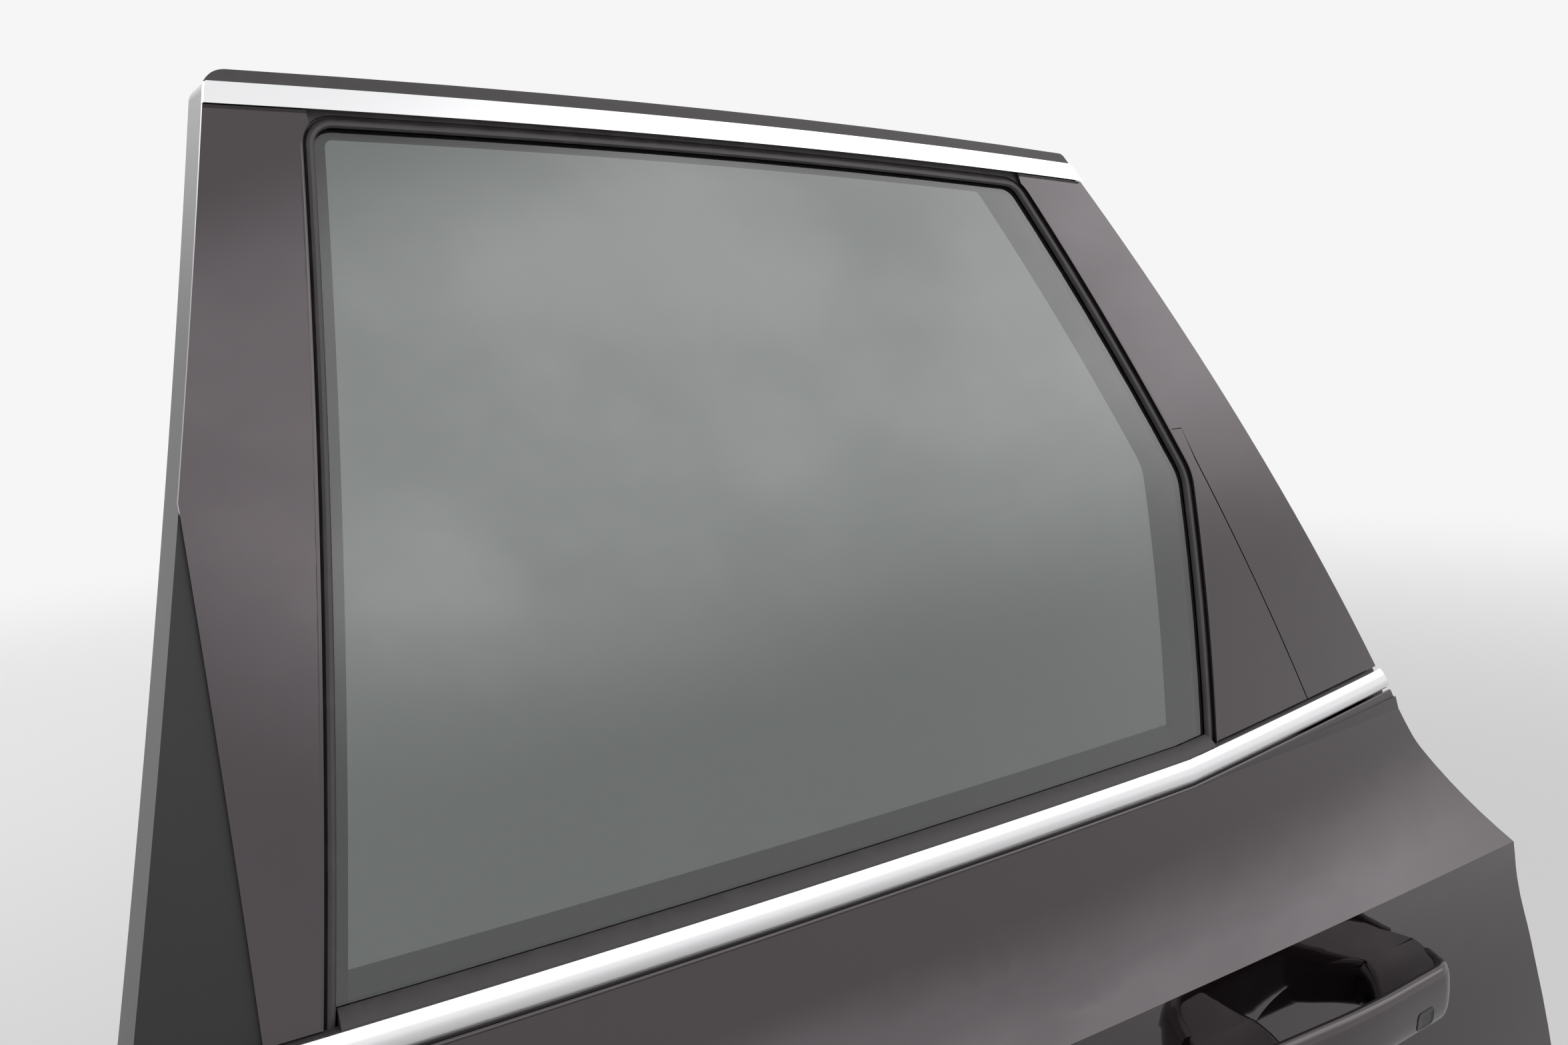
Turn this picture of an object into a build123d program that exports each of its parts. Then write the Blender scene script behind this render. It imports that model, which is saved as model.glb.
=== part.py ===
from build123d import *
from math import acos, cos, degrees, radians, sin, sqrt
import os

# A left rear side door of a family crossover, with its hinges' pillar halves.
# Millimetres. X runs to the rear, Y inboard and Z up, from the centre of the lower hinge's pillar bolts.

# The front end of the belt line, seen from those bolts
edge_x = 52.0
belt_y = -26.0
belt_z = 560.0

# Curves of the body side: bow seen from above, and the lean of the glass
bow_radius = 7650.0
bow_x = edge_x + 300.0
lean_radius = 1695.0
lean_angle = radians(9.54)
bow_start = 4.5
bow_sweep = 12.5

# Lower body: places across (y) and up (z) from the belt line, at the middle of the door
flange_y = -9.0
flange_z = -20.0
crease_y = -60.0
crease_z = -129.0
waist_z = -255.0
sill_y = -52.0
sill_z = -702.0
shoulder_hollow = 7.8
undercut_hollow = 6.0
swell = 23.0
crease_bow_radius = 16000.0
crease_bow_x = 450.0
skin_t = 1.5

# Outline of the door from the side
front_x = -14.0
front_slope = 0.2288
bottom_z = -690.0
knee_radius = 500.0
top_front_z = 477.0
top_mid = (411.0, 463.0)
top_rear = (714.0, 438.5)
belt_rear = (960.0, 1.0)
notch = (976.0, -48.0)
crease_rear = (1030.0, -138.0)
hip = (1068.0, -225.0)
hip_low = (1094.0, -405.0)
arch_x = 1300.0
arch_z = -700.0
arch_radius = 402.0

# The window's seen opening
window_front_x = 95.0
window_front_slope = 0.148
window_top_z = 446.0
window_top_mid = (415.0, 432.5)
window_top_rear = (657.0, 413.0)
window_rear_kink = (754.0, 196.0)
window_rear_slope = 0.123
glass_bottom_z = -70.0
glass_depth = 6.0
glass_t = 4.0

# Window frame, run channel and covers, as depths in from the body side
cover_t = 3.0
fit_gap = 0.3
frame_depth = 47.7
frame_inset = 2.0
channel_width = 21.0
channel_bite = 8.0
channel_depth = 14.2
channel_lip = 2.2
slot_clear = 0.4
flange_lap = 4.0
trim_above_glass = 11.0
cover_margin = 7.0
split_z = -8.0

# Bright strips
belt_trim_h = 17.5
belt_trim_rise_x = 700.0
belt_trim_rise = 0.068
trim_proud = 6.6
top_trim_h = 12.2

# Inner panel
panel_y = 50.0
panel_t = 2.0
wall_inset = 14.0
hinge_face_x = 36.0
hem_t = 1.3
slot_inboard = 16.3
ledge_z = -8.0

# Trim pad inside
pad_y = 66.0
pad_inset = 27.0
seal_w = 10.0
seal_t = 9.0

# Hinges and check strap
axis_x = 10.0
axis_y = -22.0
pin_r = 5.0
pin_clear = 0.05
knuckle_r = 9.5
knuckle_h = 30.0
fork_h = 12.0
fork_gap = 0.5
hinge_zs = {"upper": -215.0, "lower": -560.0}
leaf_t = 6.0
leaf_h = 66.0
bolt_pitch = 40.0
bolt_r = 4.5
pillar_leaf_x = -52.0
pillar_leaf_w = 36.0
pillar_y = 26.0
strap_z = -390.0
strap_r = 55.0
strap_t = 6.0
strap_h = 18.0
door_open = 70.0

reach = 420.0
far = 2000.0


def side(x, z):
    """A point of the side view, from the front end of the belt line."""
    return (edge_x + x, belt_z + z)


def bow(x, centre, radius):
    """How far the body side moves inboard at x."""
    return (x - centre) ** 2 / (2 * radius)


axis_dir = Axis((bow_x, belt_y + bow_radius, 0), (0, 0, 1))
start = radians(bow_start)
section_plane = Plane(
    origin=(bow_x, belt_y + bow_radius, 0), x_dir=(-sin(start), -cos(start), 0), z_dir=(-cos(start), sin(start), 0)
)


def lean_point(depth, z):
    """A section point at this depth in from the body side's upper curve."""
    centre_z = -lean_radius * sin(lean_angle)
    y = lean_radius * cos(lean_angle) - sqrt((lean_radius - depth) ** 2 - (z - centre_z) ** 2)
    return (bow_radius - y, belt_z + z)


def leaning_band(outer, inner, low, high):
    """A slab between two depths that follows the leaning and bowed glass line."""
    mid = (low + high) / 2
    with BuildPart() as band:
        with BuildSketch(section_plane):
            with BuildLine():
                ThreePointArc(lean_point(outer, low), lean_point(outer, mid), lean_point(outer, high))
                Line(lean_point(outer, high), lean_point(inner, high))
                ThreePointArc(lean_point(inner, high), lean_point(inner, mid), lean_point(inner, low))
                Line(lean_point(inner, low), lean_point(outer, low))
            make_face()
        revolve(axis=axis_dir, revolution_arc=bow_sweep)
    return band.part


def upright_band(points):
    """A slab from a section outline of (y, z) points that follows the bow only."""
    with BuildPart() as band:
        with BuildSketch(section_plane):
            with BuildLine():
                Polyline(*[(bow_radius - y, belt_z + z) for y, z in points], close=True)
            make_face()
        revolve(axis=axis_dir, revolution_arc=bow_sweep)
    return band.part


def box_band(y0, y1, z0, z1):
    """An upright band with a plain rectangular section."""
    return upright_band([(y0, z0), (y1, z0), (y1, z1), (y0, z1)])


def mid_bulge(p, q, rise):
    """The middle of an arc from p to q that rises to the left of that line."""
    length = sqrt((q[0] - p[0]) ** 2 + (q[1] - p[1]) ** 2)
    nx = -(q[1] - p[1]) / length
    ny = (q[0] - p[0]) / length
    return ((p[0] + q[0]) / 2 + nx * rise, (p[1] + q[1]) / 2 + ny * rise)


def side_chain(x, shift):
    """Points of the lower body section at x, moved inboard by shift: ends and middles of its arcs."""
    belt_bow = bow(x, bow_x - edge_x, bow_radius) + shift
    low_bow = bow(x, crease_bow_x, crease_bow_radius) + shift
    rim = (flange_y + 3.0 + belt_bow, 20.0)
    top = (flange_y + belt_bow, flange_z)
    crease = (crease_y + low_bow, crease_z)
    waist = (crease_y + low_bow, waist_z)
    sill = (sill_y + low_bow, sill_z)
    return [
        rim,
        top,
        mid_bulge(top, crease, shoulder_hollow),
        crease,
        mid_bulge(crease, waist, undercut_hollow),
        waist,
        mid_bulge(waist, sill, -swell),
        sill,
    ]


section_xs = (-40.0, 540.0, 1120.0)


def skin_loft(outer, inner):
    """The lower body between two shifts of its section, lofted from front to rear."""
    with BuildPart() as slab:
        for x in section_xs:
            a = [Vector(y, belt_z + z) for y, z in side_chain(x, outer + belt_y)]
            b = [Vector(y, belt_z + z) for y, z in side_chain(x, inner + belt_y)]
            with BuildSketch(Plane.YZ.offset(edge_x + x)):
                with BuildLine():
                    Line(a[0], a[1])
                    ThreePointArc(a[1], a[2], a[3])
                    ThreePointArc(a[3], a[4], a[5])
                    ThreePointArc(a[5], a[6], a[7])
                    Line(a[7], b[7])
                    ThreePointArc(b[7], b[6], b[5])
                    ThreePointArc(b[5], b[4], b[3])
                    ThreePointArc(b[3], b[2], b[1])
                    Line(b[1], b[0])
                    Line(b[0], a[0])
                make_face()
        loft()
    return slab.part


def body_loft(shift):
    """Everything inboard of the lower body section at this shift."""
    with BuildPart() as slab:
        for x in section_xs:
            a = [Vector(y, belt_z + z) for y, z in side_chain(x, shift + belt_y)]
            back = belt_y + 220.0
            with BuildSketch(Plane.YZ.offset(edge_x + x)):
                with BuildLine():
                    Line(a[0], a[1])
                    ThreePointArc(a[1], a[2], a[3])
                    ThreePointArc(a[3], a[4], a[5])
                    ThreePointArc(a[5], a[6], a[7])
                    Polyline(a[7], Vector(back, a[7].Y), Vector(back, a[0].Y), a[0])
                make_face()
        loft()
    return slab.part


# Outlines seen from the side


def near(sketch, point):
    return sketch.vertices().sort_by_distance(Vector(*point))[0]


with BuildSketch() as door_face:
    top_front = (front_slope * top_front_z, top_front_z)
    knee = (front_x, front_x / front_slope)
    with BuildLine():
        ThreePointArc(side(*top_front), side(*top_mid), side(*top_rear))
        Polyline(
            side(*top_rear),
            side(*belt_rear),
            side(*notch),
            side(*crease_rear),
            side(*hip),
            side(*hip_low),
            side(hip_low[0], bottom_z),
            side(front_x, bottom_z),
            side(*knee),
            side(*top_front),
        )
    make_face()
    with Locations(side(arch_x, arch_z)):
        Circle(arch_radius, mode=Mode.SUBTRACT)
    arch_top = arch_z + sqrt(arch_radius**2 - (arch_x - hip_low[0]) ** 2)
    arch_foot = arch_x - sqrt(arch_radius**2 - (bottom_z - arch_z) ** 2)
    corners = (
        (top_front, 14.0),
        (top_rear, 6.0),
        (belt_rear, 60.0),
        (notch, 60.0),
        (crease_rear, 140.0),
        (hip, 160.0),
        ((hip_low[0], arch_top), 30.0),
        ((arch_foot, bottom_z), 16.0),
        ((front_x, bottom_z), 16.0),
        (knee, knee_radius),
    )
    for point, radius in corners:
        fillet(near(door_face, side(*point)), radius)

with BuildSketch() as window_face:
    low = glass_bottom_z - 40.0
    front_top = (window_front_x + window_front_slope * window_top_z, window_top_z)
    with BuildLine():
        ThreePointArc(side(*front_top), side(*window_top_mid), side(*window_top_rear))
        Polyline(
            side(*window_top_rear),
            side(*window_rear_kink),
            side(window_rear_kink[0] + window_rear_slope * (low - window_rear_kink[1]), low),
            side(window_front_x + window_front_slope * low, low),
            side(*front_top),
        )
    make_face()
    for point, radius in ((front_top, 12.0), (window_top_rear, 14.0), (window_rear_kink, 30.0)):
        fillet(near(window_face, side(*point)), radius)


def prism(face):
    """A side view outline carried right through the door."""
    return extrude(Plane.XZ * face, amount=reach, both=True, mode=Mode.PRIVATE)


def door_prism(inset):
    return prism(offset(door_face.sketch, amount=-inset, mode=Mode.PRIVATE) if inset else door_face.sketch)


def window_prism(grow):
    return prism(offset(window_face.sketch, amount=grow, mode=Mode.PRIVATE) if grow else window_face.sketch)


def zone(*points):
    """A prism from a few side view points."""
    with BuildSketch(mode=Mode.PRIVATE) as face:
        with BuildLine():
            Polyline(*[side(*point) for point in points], close=True)
        make_face()
    return prism(face.sketch)


def patch(x, z, width, height, radius):
    """A prism from a rounded rectangle seen from the side."""
    with BuildSketch(mode=Mode.PRIVATE) as face:
        with Locations(side(x, z)):
            RectangleRounded(width, height, radius)
    return prism(face.sketch)


def behind_front(step):
    """All that lies behind the hinge face moved back by step."""
    x = hinge_face_x + step
    lift = 700.0
    knee_z = front_x / front_slope
    return zone((x, -900), (x, knee_z), (x + front_slope * lift, knee_z + lift), (far, lift), (far, -900))


front_zone = zone((-300, split_z), (400, split_z), (400, 431), (161, 448), (-300, 448))
top_zone = zone((-300, 448), (161, 448), (657, 415), (far, 415), (far, 700), (-300, 700))
post_zone = zone((600, 415), (far, 415), (far, split_z), (894, split_z), (776, 204.5), (600, 204.5))
bar_zone = zone((700, 204.5), (797, 204.5), (764, -60), (700, -60)) - post_zone
finished = []


def keep(piece, label):
    piece.part.label = label
    finished.append(piece.part)



# Outer skin, with the hole behind the handle
bowl_x = 772.0
bowl_z = -197.0
bowl_w = 152.0
bowl_h = 74.0
skin_top = zone((-300, flange_z), (700, flange_z), (960, -9), (far, -9), (far, -900), (-300, -900))


def bowl_prism(shrink):
    with BuildSketch(mode=Mode.PRIVATE) as face:
        with Locations(side(bowl_x, bowl_z)):
            Ellipse(bowl_w / 2 - shrink, bowl_h / 2 - shrink)
    return prism(face.sketch)


skin_slab = skin_loft(0, skin_t)
with BuildPart() as outer_skin:
    add(skin_slab)
    add(door_prism(0), mode=Mode.INTERSECT)
    add(skin_top, mode=Mode.INTERSECT)
    add(bowl_prism(0), mode=Mode.SUBTRACT)
keep(outer_skin, "outer_skin")

# Bowl behind the handle, open to the outside
bowl_depth = 24.0
bowl_t = 2.0
bowl_back_y = crease_y + bowl_depth
bowl_inside = body_loft(skin_t + fit_gap)
bowl_back = box_band(-160, bowl_back_y, -320, -100)
bowl_room = box_band(-160, bowl_back_y - bowl_t, -320, -100)
with BuildPart() as handle_bowl:
    add(bowl_inside)
    add(bowl_back, mode=Mode.INTERSECT)
    add(bowl_prism(0.5), mode=Mode.INTERSECT)
    add(bowl_room & bowl_prism(0.5 + bowl_t), mode=Mode.SUBTRACT)
keep(handle_bowl, "handle_bowl")

# Inner panel: a pan with a hem flange, open to the outside
flange_slab = skin_loft(skin_t + 0.1, skin_t + 0.1 + hem_t)
pan_body = body_loft(skin_t + 0.1 + hem_t / 2)
pan_outside = box_band(-160, panel_y, sill_z - 20, ledge_z)
pan_inside = box_band(-160, panel_y - panel_t, sill_z - 20, ledge_z - panel_t)
slot_cut = leaning_band(-30, slot_inboard, -40, 20)
ledge_cut = leaning_band(-60, cover_t + fit_gap, ledge_z - panel_t, 20)
glass_slot = zone((78, -60), (930, -60), (930, 60), (78, 60))
wall_middle = wall_inset + panel_t / 2
strap_slot = patch(hinge_face_x, strap_z, 20, 30, 3)
strap_window = box_band(4, 42, -900, 0)
latch_notch = zone((1046, -278), (1110, -278), (1110, -254), (1046, -254))
latch_window = box_band(4, panel_y + 1, -900, 0)
with BuildPart() as inner_panel:
    add(pan_body)
    add(pan_outside, mode=Mode.INTERSECT)
    add(door_prism(wall_inset), mode=Mode.INTERSECT)
    add(behind_front(0), mode=Mode.INTERSECT)
    add(pan_inside & door_prism(wall_inset + panel_t) & behind_front(panel_t), mode=Mode.SUBTRACT)
    add(slot_cut & glass_slot, mode=Mode.SUBTRACT)
    add(ledge_cut, mode=Mode.SUBTRACT)
    add(flange_slab & door_prism(2) & (skin_top - (door_prism(wall_middle) & behind_front(panel_t / 2))))
    add(strap_slot & strap_window, mode=Mode.SUBTRACT)
    add(latch_notch & latch_window, mode=Mode.SUBTRACT)
keep(inner_panel, "inner_panel")

# Rail behind the skin's upper edge, which the belt strips clip on
rail_slab = leaning_band(-3.8, 1.5, -60, ledge_z - panel_t - fit_gap)
with BuildPart() as belt_rail:
    add(rail_slab)
    add(door_prism(wall_inset + panel_t + fit_gap), mode=Mode.INTERSECT)
    add(behind_front(panel_t + fit_gap), mode=Mode.INTERSECT)
keep(belt_rail, "belt_rail")

# Window frame in four pieces: outer part to the run channel, and a lap behind it
frame_slab = leaning_band(cover_t + fit_gap, frame_depth, split_z, 490)
lap_slab = leaning_band(channel_depth + fit_gap, frame_depth, split_z, 490)
frame_ring = door_prism(frame_inset) - window_prism(channel_width + fit_gap)
lap_ring = window_prism(channel_width + 2) - window_prism(flange_lap)


def frame_piece(frame_zone):
    return (frame_slab & frame_ring & frame_zone) + (lap_slab & lap_ring & frame_zone & door_prism(frame_inset))


for label, frame_zone in (
    ("frame_front_post", front_zone),
    ("frame_top_rail", top_zone),
    ("frame_rear_post", post_zone),
    ("frame_division_bar", bar_zone),
):
    with BuildPart() as frame_part:
        add(frame_piece(frame_zone))
    keep(frame_part, label)

# Drop glass and the rubber channel that it runs in
glass_slab = leaning_band(glass_depth, glass_depth + glass_t, glass_bottom_z, 480)
with BuildPart() as drop_glass:
    add(glass_slab)
    add(window_prism(channel_width - channel_bite), mode=Mode.INTERSECT)
keep(drop_glass, "drop_glass")

channel_slab = leaning_band(cover_t + fit_gap, channel_depth, split_z + 0.3, 485)
channel_slot = leaning_band(glass_depth - slot_clear, glass_depth + glass_t + slot_clear, glass_bottom_z, 495)
with BuildPart() as run_channel:
    add(channel_slab)
    add(window_prism(channel_width) - window_prism(0), mode=Mode.INTERSECT)
    add(channel_slot & window_prism(channel_width - channel_bite + slot_clear), mode=Mode.SUBTRACT)
keep(run_channel, "run_channel")


def under_top_line(lift):
    """All that lies below the upper bright strip's lower edge, raised by lift."""
    with BuildSketch(mode=Mode.PRIVATE) as face:
        with BuildLine():
            ThreePointArc(side(60, 458.7 + lift), side(411, 442.3 + lift), side(760, 413.9 + lift))
            Polyline(side(760, 413.9 + lift), side(760, -300), side(60, -300), side(60, 458.7 + lift))
        make_face()
    return prism(face.sketch)


def over_belt_line(lift):
    """All that lies above the belt strip's upper edge."""
    rise = belt_trim_rise * 400
    corner = belt_trim_rise_x + 400
    return zone((-300, lift), (belt_trim_rise_x, lift), (corner, lift + rise), (corner, 700), (-300, 700))


# Gloss covers outside the posts
cover_slab = leaning_band(0, cover_t, 0, 475)
cover_zone = (door_prism(1) - window_prism(cover_margin)) & over_belt_line(0.5)
split_top = (768.0, 206.0)
split_foot = (858.0, -4.0)
split_gap = 0.6
filler_zone = zone(
    (700, 230), (split_top[0] - 8, 230), (split_top[0] - split_gap, split_top[1]),
    (split_foot[0] - split_gap, split_foot[1]), (700, split_foot[1]),
)
pillar_zone = zone(
    (600, 500), (990, 500), (990, -10), (split_foot[0] + split_gap, split_foot[1]),
    (split_top[0] + split_gap, split_top[1]), (split_top[0] - 8, 230.6), (600, 230.6),
)

with BuildPart() as front_pillar_cover:
    add(cover_slab)
    add(cover_zone, mode=Mode.INTERSECT)
    add(under_top_line(-0.5), mode=Mode.INTERSECT)
    add(zone((-100, -10), (300, -10), (300, 600), (-100, 600)), mode=Mode.INTERSECT)
    add(window_prism(30) & zone((158, 400), (400, 400), (400, 600), (158, 600)), mode=Mode.SUBTRACT)
keep(front_pillar_cover, "front_pillar_cover")

top_line_room = under_top_line(-0.5) + zone((755, -300), (1100, -300), (1100, 420), (755, 420))
with BuildPart() as rear_pillar_cover:
    add(cover_slab)
    add(cover_zone, mode=Mode.INTERSECT)
    add(top_line_room, mode=Mode.INTERSECT)
    add(pillar_zone, mode=Mode.INTERSECT)
    add(zone((500, 600), (662, 600), (662, 380), (500, 380)), mode=Mode.SUBTRACT)
keep(rear_pillar_cover, "rear_pillar_cover")

with BuildPart() as rear_filler_cover:
    add(cover_slab)
    add(cover_zone, mode=Mode.INTERSECT)
    add(filler_zone, mode=Mode.INTERSECT)
keep(rear_filler_cover, "rear_filler_cover")

# Bright strips and the rubber around them
strip_slab = leaning_band(-2.5, cover_t, 390, 490)
with BuildPart() as top_trim:
    add(strip_slab)
    add(door_prism(1), mode=Mode.INTERSECT)
    add(under_top_line(top_trim_h) - under_top_line(0), mode=Mode.INTERSECT)
keep(top_trim, "top_trim")

rubber_slab = leaning_band(-1, cover_t, 390, 490)
with BuildPart() as upper_seal:
    add(rubber_slab)
    add(door_prism(0.5), mode=Mode.INTERSECT)
    add(zone((0, 380), (760, 380), (760, 520), (0, 520)) - under_top_line(top_trim_h + 0.4), mode=Mode.INTERSECT)
keep(upper_seal, "upper_seal")

strip_back = -4.2
belt_slab = leaning_band(-trim_proud, strip_back, -30, 30)
belt_zone = zone(
    (-60, 0), (belt_trim_rise_x, 0), (1000, belt_trim_rise * 300), (1000, -3.6), (712, -belt_trim_h), (-60, -belt_trim_h)
)
with BuildPart() as belt_trim:
    add(belt_slab)
    add(door_prism(1), mode=Mode.INTERSECT)
    add(belt_zone, mode=Mode.INTERSECT)
keep(belt_trim, "belt_trim")

carrier_slab = leaning_band(strip_back + fit_gap, cover_t, -10, 30)
carrier_zone = zone((-60, -0.4), (belt_trim_rise_x, -0.4), (1000, belt_trim_rise * 300 - 0.4), (1000, -10), (-60, -10))
lip_slab = leaning_band(0, glass_depth - slot_clear, -6, 6.5)
with BuildPart() as belt_outer_seal:
    add(carrier_slab)
    add(carrier_zone & door_prism(frame_inset), mode=Mode.INTERSECT)
    add(lip_slab & window_prism(-0.4))
keep(belt_outer_seal, "belt_outer_seal")

inner_lip = leaning_band(glass_depth + glass_t + fit_gap, slot_inboard - fit_gap, -7, 4)
with BuildPart() as belt_inner_seal:
    add(inner_lip)
    add(window_prism(-2), mode=Mode.INTERSECT)
keep(belt_inner_seal, "belt_inner_seal")

# Perimeter seal on the inner face
latch_setback = 16.0


def inner_outline(inset, step):
    """The inner face's outline, clear of the hinge face and of the latch's mouth."""
    outline = door_prism(inset)
    return outline & outline.moved(Location((-latch_setback, 0, 0))) & behind_front(step)


seal_low = box_band(panel_y + fit_gap, panel_y + fit_gap + seal_t, -720, 6)
seal_high = leaning_band(frame_depth + fit_gap, frame_depth + fit_gap + seal_t, split_z + 0.5, 490)
seal_ring = inner_outline(wall_inset, panel_t) - inner_outline(wall_inset + seal_w, panel_t + seal_w)
with BuildPart() as door_seal:
    add(seal_low & seal_ring)
    add(seal_high & seal_ring)
keep(door_seal, "door_seal")

# Inner cover of the triangle behind the division bar
sail_slab = leaning_band(frame_depth + fit_gap, frame_depth + cover_t, 4, 220)
with BuildPart() as sail_trim:
    add(sail_slab)
    add(zone((742, 6), (885, 6), (776, 214), (762, 205)), mode=Mode.INTERSECT)
keep(sail_trim, "sail_trim")

# Trim pad with its armrest, pull cup, pocket, speaker, switch and release
pad_slab = upright_band(
    [(panel_y + fit_gap, -700), (pad_y, -700), (pad_y, -18), (pad_y - 5, -6), (pad_y - 14, 3), (panel_y + fit_gap, 3)]
)
sill_slab = box_band(-10, panel_y + 2, split_z + fit_gap, 3)
with BuildPart() as trim_panel:
    add(pad_slab)
    add(inner_outline(pad_inset, panel_t + seal_w + 3), mode=Mode.INTERSECT)
    add((sill_slab - leaning_band(-60, slot_inboard, -20, 20)) & window_prism(flange_lap - fit_gap))
keep(trim_panel, "trim_panel")

rest_x = 505.0
rest_z = -264.0
rest_w = 500.0
rest_h = 60.0
rest_top = rest_z + rest_h / 2
rest_slab = upright_band(
    [
        (pad_y + fit_gap, rest_top), (116, rest_top), (126, rest_top - 9), (127, rest_top - 40),
        (112, rest_top - rest_h), (pad_y + fit_gap, rest_top - rest_h),
    ]
)
pull_x = 420.0
pull_slab = box_band(84, 110, rest_top - 38, rest_top + 40)
with BuildPart() as armrest:
    add(rest_slab)
    add(patch(rest_x, rest_z, rest_w, rest_h, 24), mode=Mode.INTERSECT)
    add(pull_slab & patch(pull_x, rest_top, 118, 76, 14), mode=Mode.SUBTRACT)
keep(armrest, "armrest")

switch_slab = box_band(88, 108, rest_top + fit_gap, rest_top + 7)
with BuildPart() as window_switch:
    add(switch_slab)
    add(patch(312, rest_top + 3, 36, 10, 3), mode=Mode.INTERSECT)
keep(window_switch, "window_switch")

pocket_slab = box_band(pad_y + fit_gap, 104, -620, -470)
pocket_room = box_band(pad_y + 3, 101, -620, -400)
with BuildPart() as map_pocket:
    add(pocket_slab)
    add(patch(530, -545, 440, 130, 22), mode=Mode.INTERSECT)
    add(pocket_room & patch(530, -520, 434, 172, 18), mode=Mode.SUBTRACT)
keep(map_pocket, "map_pocket")

grille_slab = box_band(pad_y + fit_gap, pad_y + 4, -700, -400)
with BuildSketch() as speaker_face:
    with Locations(side(178, -545)):
        Circle(72)
with BuildPart() as speaker_grille:
    add(grille_slab)
    add(prism(speaker_face.sketch), mode=Mode.INTERSECT)
keep(speaker_grille, "speaker_grille")

bezel_slab = box_band(pad_y + fit_gap, pad_y + 6, -200, -60)
bezel_room = box_band(pad_y + 2, pad_y + 20, -200, -60)
with BuildPart() as release_bezel:
    add(bezel_slab)
    add(patch(200, -130, 150, 62, 26), mode=Mode.INTERSECT)
    add(bezel_room & patch(200, -130, 132, 46, 20), mode=Mode.SUBTRACT)
keep(release_bezel, "release_bezel")

lever_slab = box_band(pad_y + 2 + fit_gap, pad_y + 11, -200, -60)
with BuildPart() as release_lever:
    add(lever_slab)
    add(patch(206, -130, 96, 22, 9), mode=Mode.INTERSECT)
keep(release_lever, "release_lever")

# Cladding along the bottom
cladding_slab = skin_loft(-9, -fit_gap)
with BuildPart() as lower_cladding:
    add(cladding_slab)
    add(door_prism(3), mode=Mode.INTERSECT)
    add(zone((-300, -596), (far, -596), (far, -900), (-300, -900)), mode=Mode.INTERSECT)
keep(lower_cladding, "lower_cladding")

# Outside handle: a bar carried on two bases
bar_low = -216.0
bar_h = 44.0


def plan(x, y):
    return (edge_x + x, belt_y + y)


outside_skin = body_loft(-fit_gap)
with BuildPart() as handle_bar:
    with BuildSketch(Plane.XY.offset(belt_z + bar_low)):
        with BuildLine():
            ThreePointArc(plan(640, -64), plan(660, -88), plan(700, -96))
            ThreePointArc(plan(700, -96), plan(775, -99), plan(850, -97))
            ThreePointArc(plan(850, -97), plan(882, -88), plan(893, -68))
            Line(plan(893, -68), plan(880, -68))
            ThreePointArc(plan(880, -68), plan(870, -80), plan(848, -83))
            ThreePointArc(plan(848, -83), plan(775, -85), plan(704, -82))
            ThreePointArc(plan(704, -82), plan(670, -76), plan(654, -64))
            Line(plan(654, -64), plan(640, -64))
        make_face()
    extrude(amount=bar_h)
    add(patch(766.5, bar_low + bar_h / 2, 252.8, bar_h - 0.2, 17), mode=Mode.INTERSECT)
keep(handle_bar, "handle_bar")

for label, points in (
    ("handle_rear_base", [(822, -30), (790, -84.6), (848, -82.7), (868, -79.5), (879, -67.7), (893.5, -67.7), (896, -30)]),
    ("handle_front_base", [(636, -30), (640, -63.7), (655, -63.7), (671, -75.3), (700, -81), (712, -30)]),
):
    with BuildPart() as base:
        with BuildSketch(Plane.XY.offset(belt_z + bar_low + 3)):
            with BuildLine():
                Polyline(*[plan(*point) for point in points], close=True)
            make_face()
        extrude(amount=bar_h - 6)
        add(outside_skin, mode=Mode.SUBTRACT)
    keep(base, label)

with BuildPart() as handle_sensor:
    with BuildSketch(Plane.XZ.offset(-belt_y + 98.2)):
        with Locations(side(838, -206)):
            RectangleRounded(24, 16, 4)
    extrude(amount=1.2)
keep(handle_sensor, "handle_sensor")

# Latch behind the rear wall, its mouth open to the rear and inboard
latch_z = -266.0
latch_slab = box_band(0, panel_y - panel_t - fit_gap, latch_z - 44, latch_z + 44)
mouth_slab = box_band(8, panel_y + 5, latch_z - 8, latch_z + 8)
with BuildPart() as door_latch:
    add(latch_slab)
    add(door_prism(wall_inset + panel_t + fit_gap), mode=Mode.INTERSECT)
    add(zone((1012, -400), (1200, -400), (1200, -100), (1012, -100)), mode=Mode.INTERSECT)
    add(mouth_slab & zone((1044, -400), (1200, -400), (1200, -100), (1044, -100)), mode=Mode.SUBTRACT)
keep(door_latch, "door_latch")

# Hinges: a leaf on the door, a forked leaf on the pillar and a pin
lug_top = knuckle_h / 2 + fork_gap + fork_h


def centre_plane(z):
    return Plane.XY.offset(belt_z + z)


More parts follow.
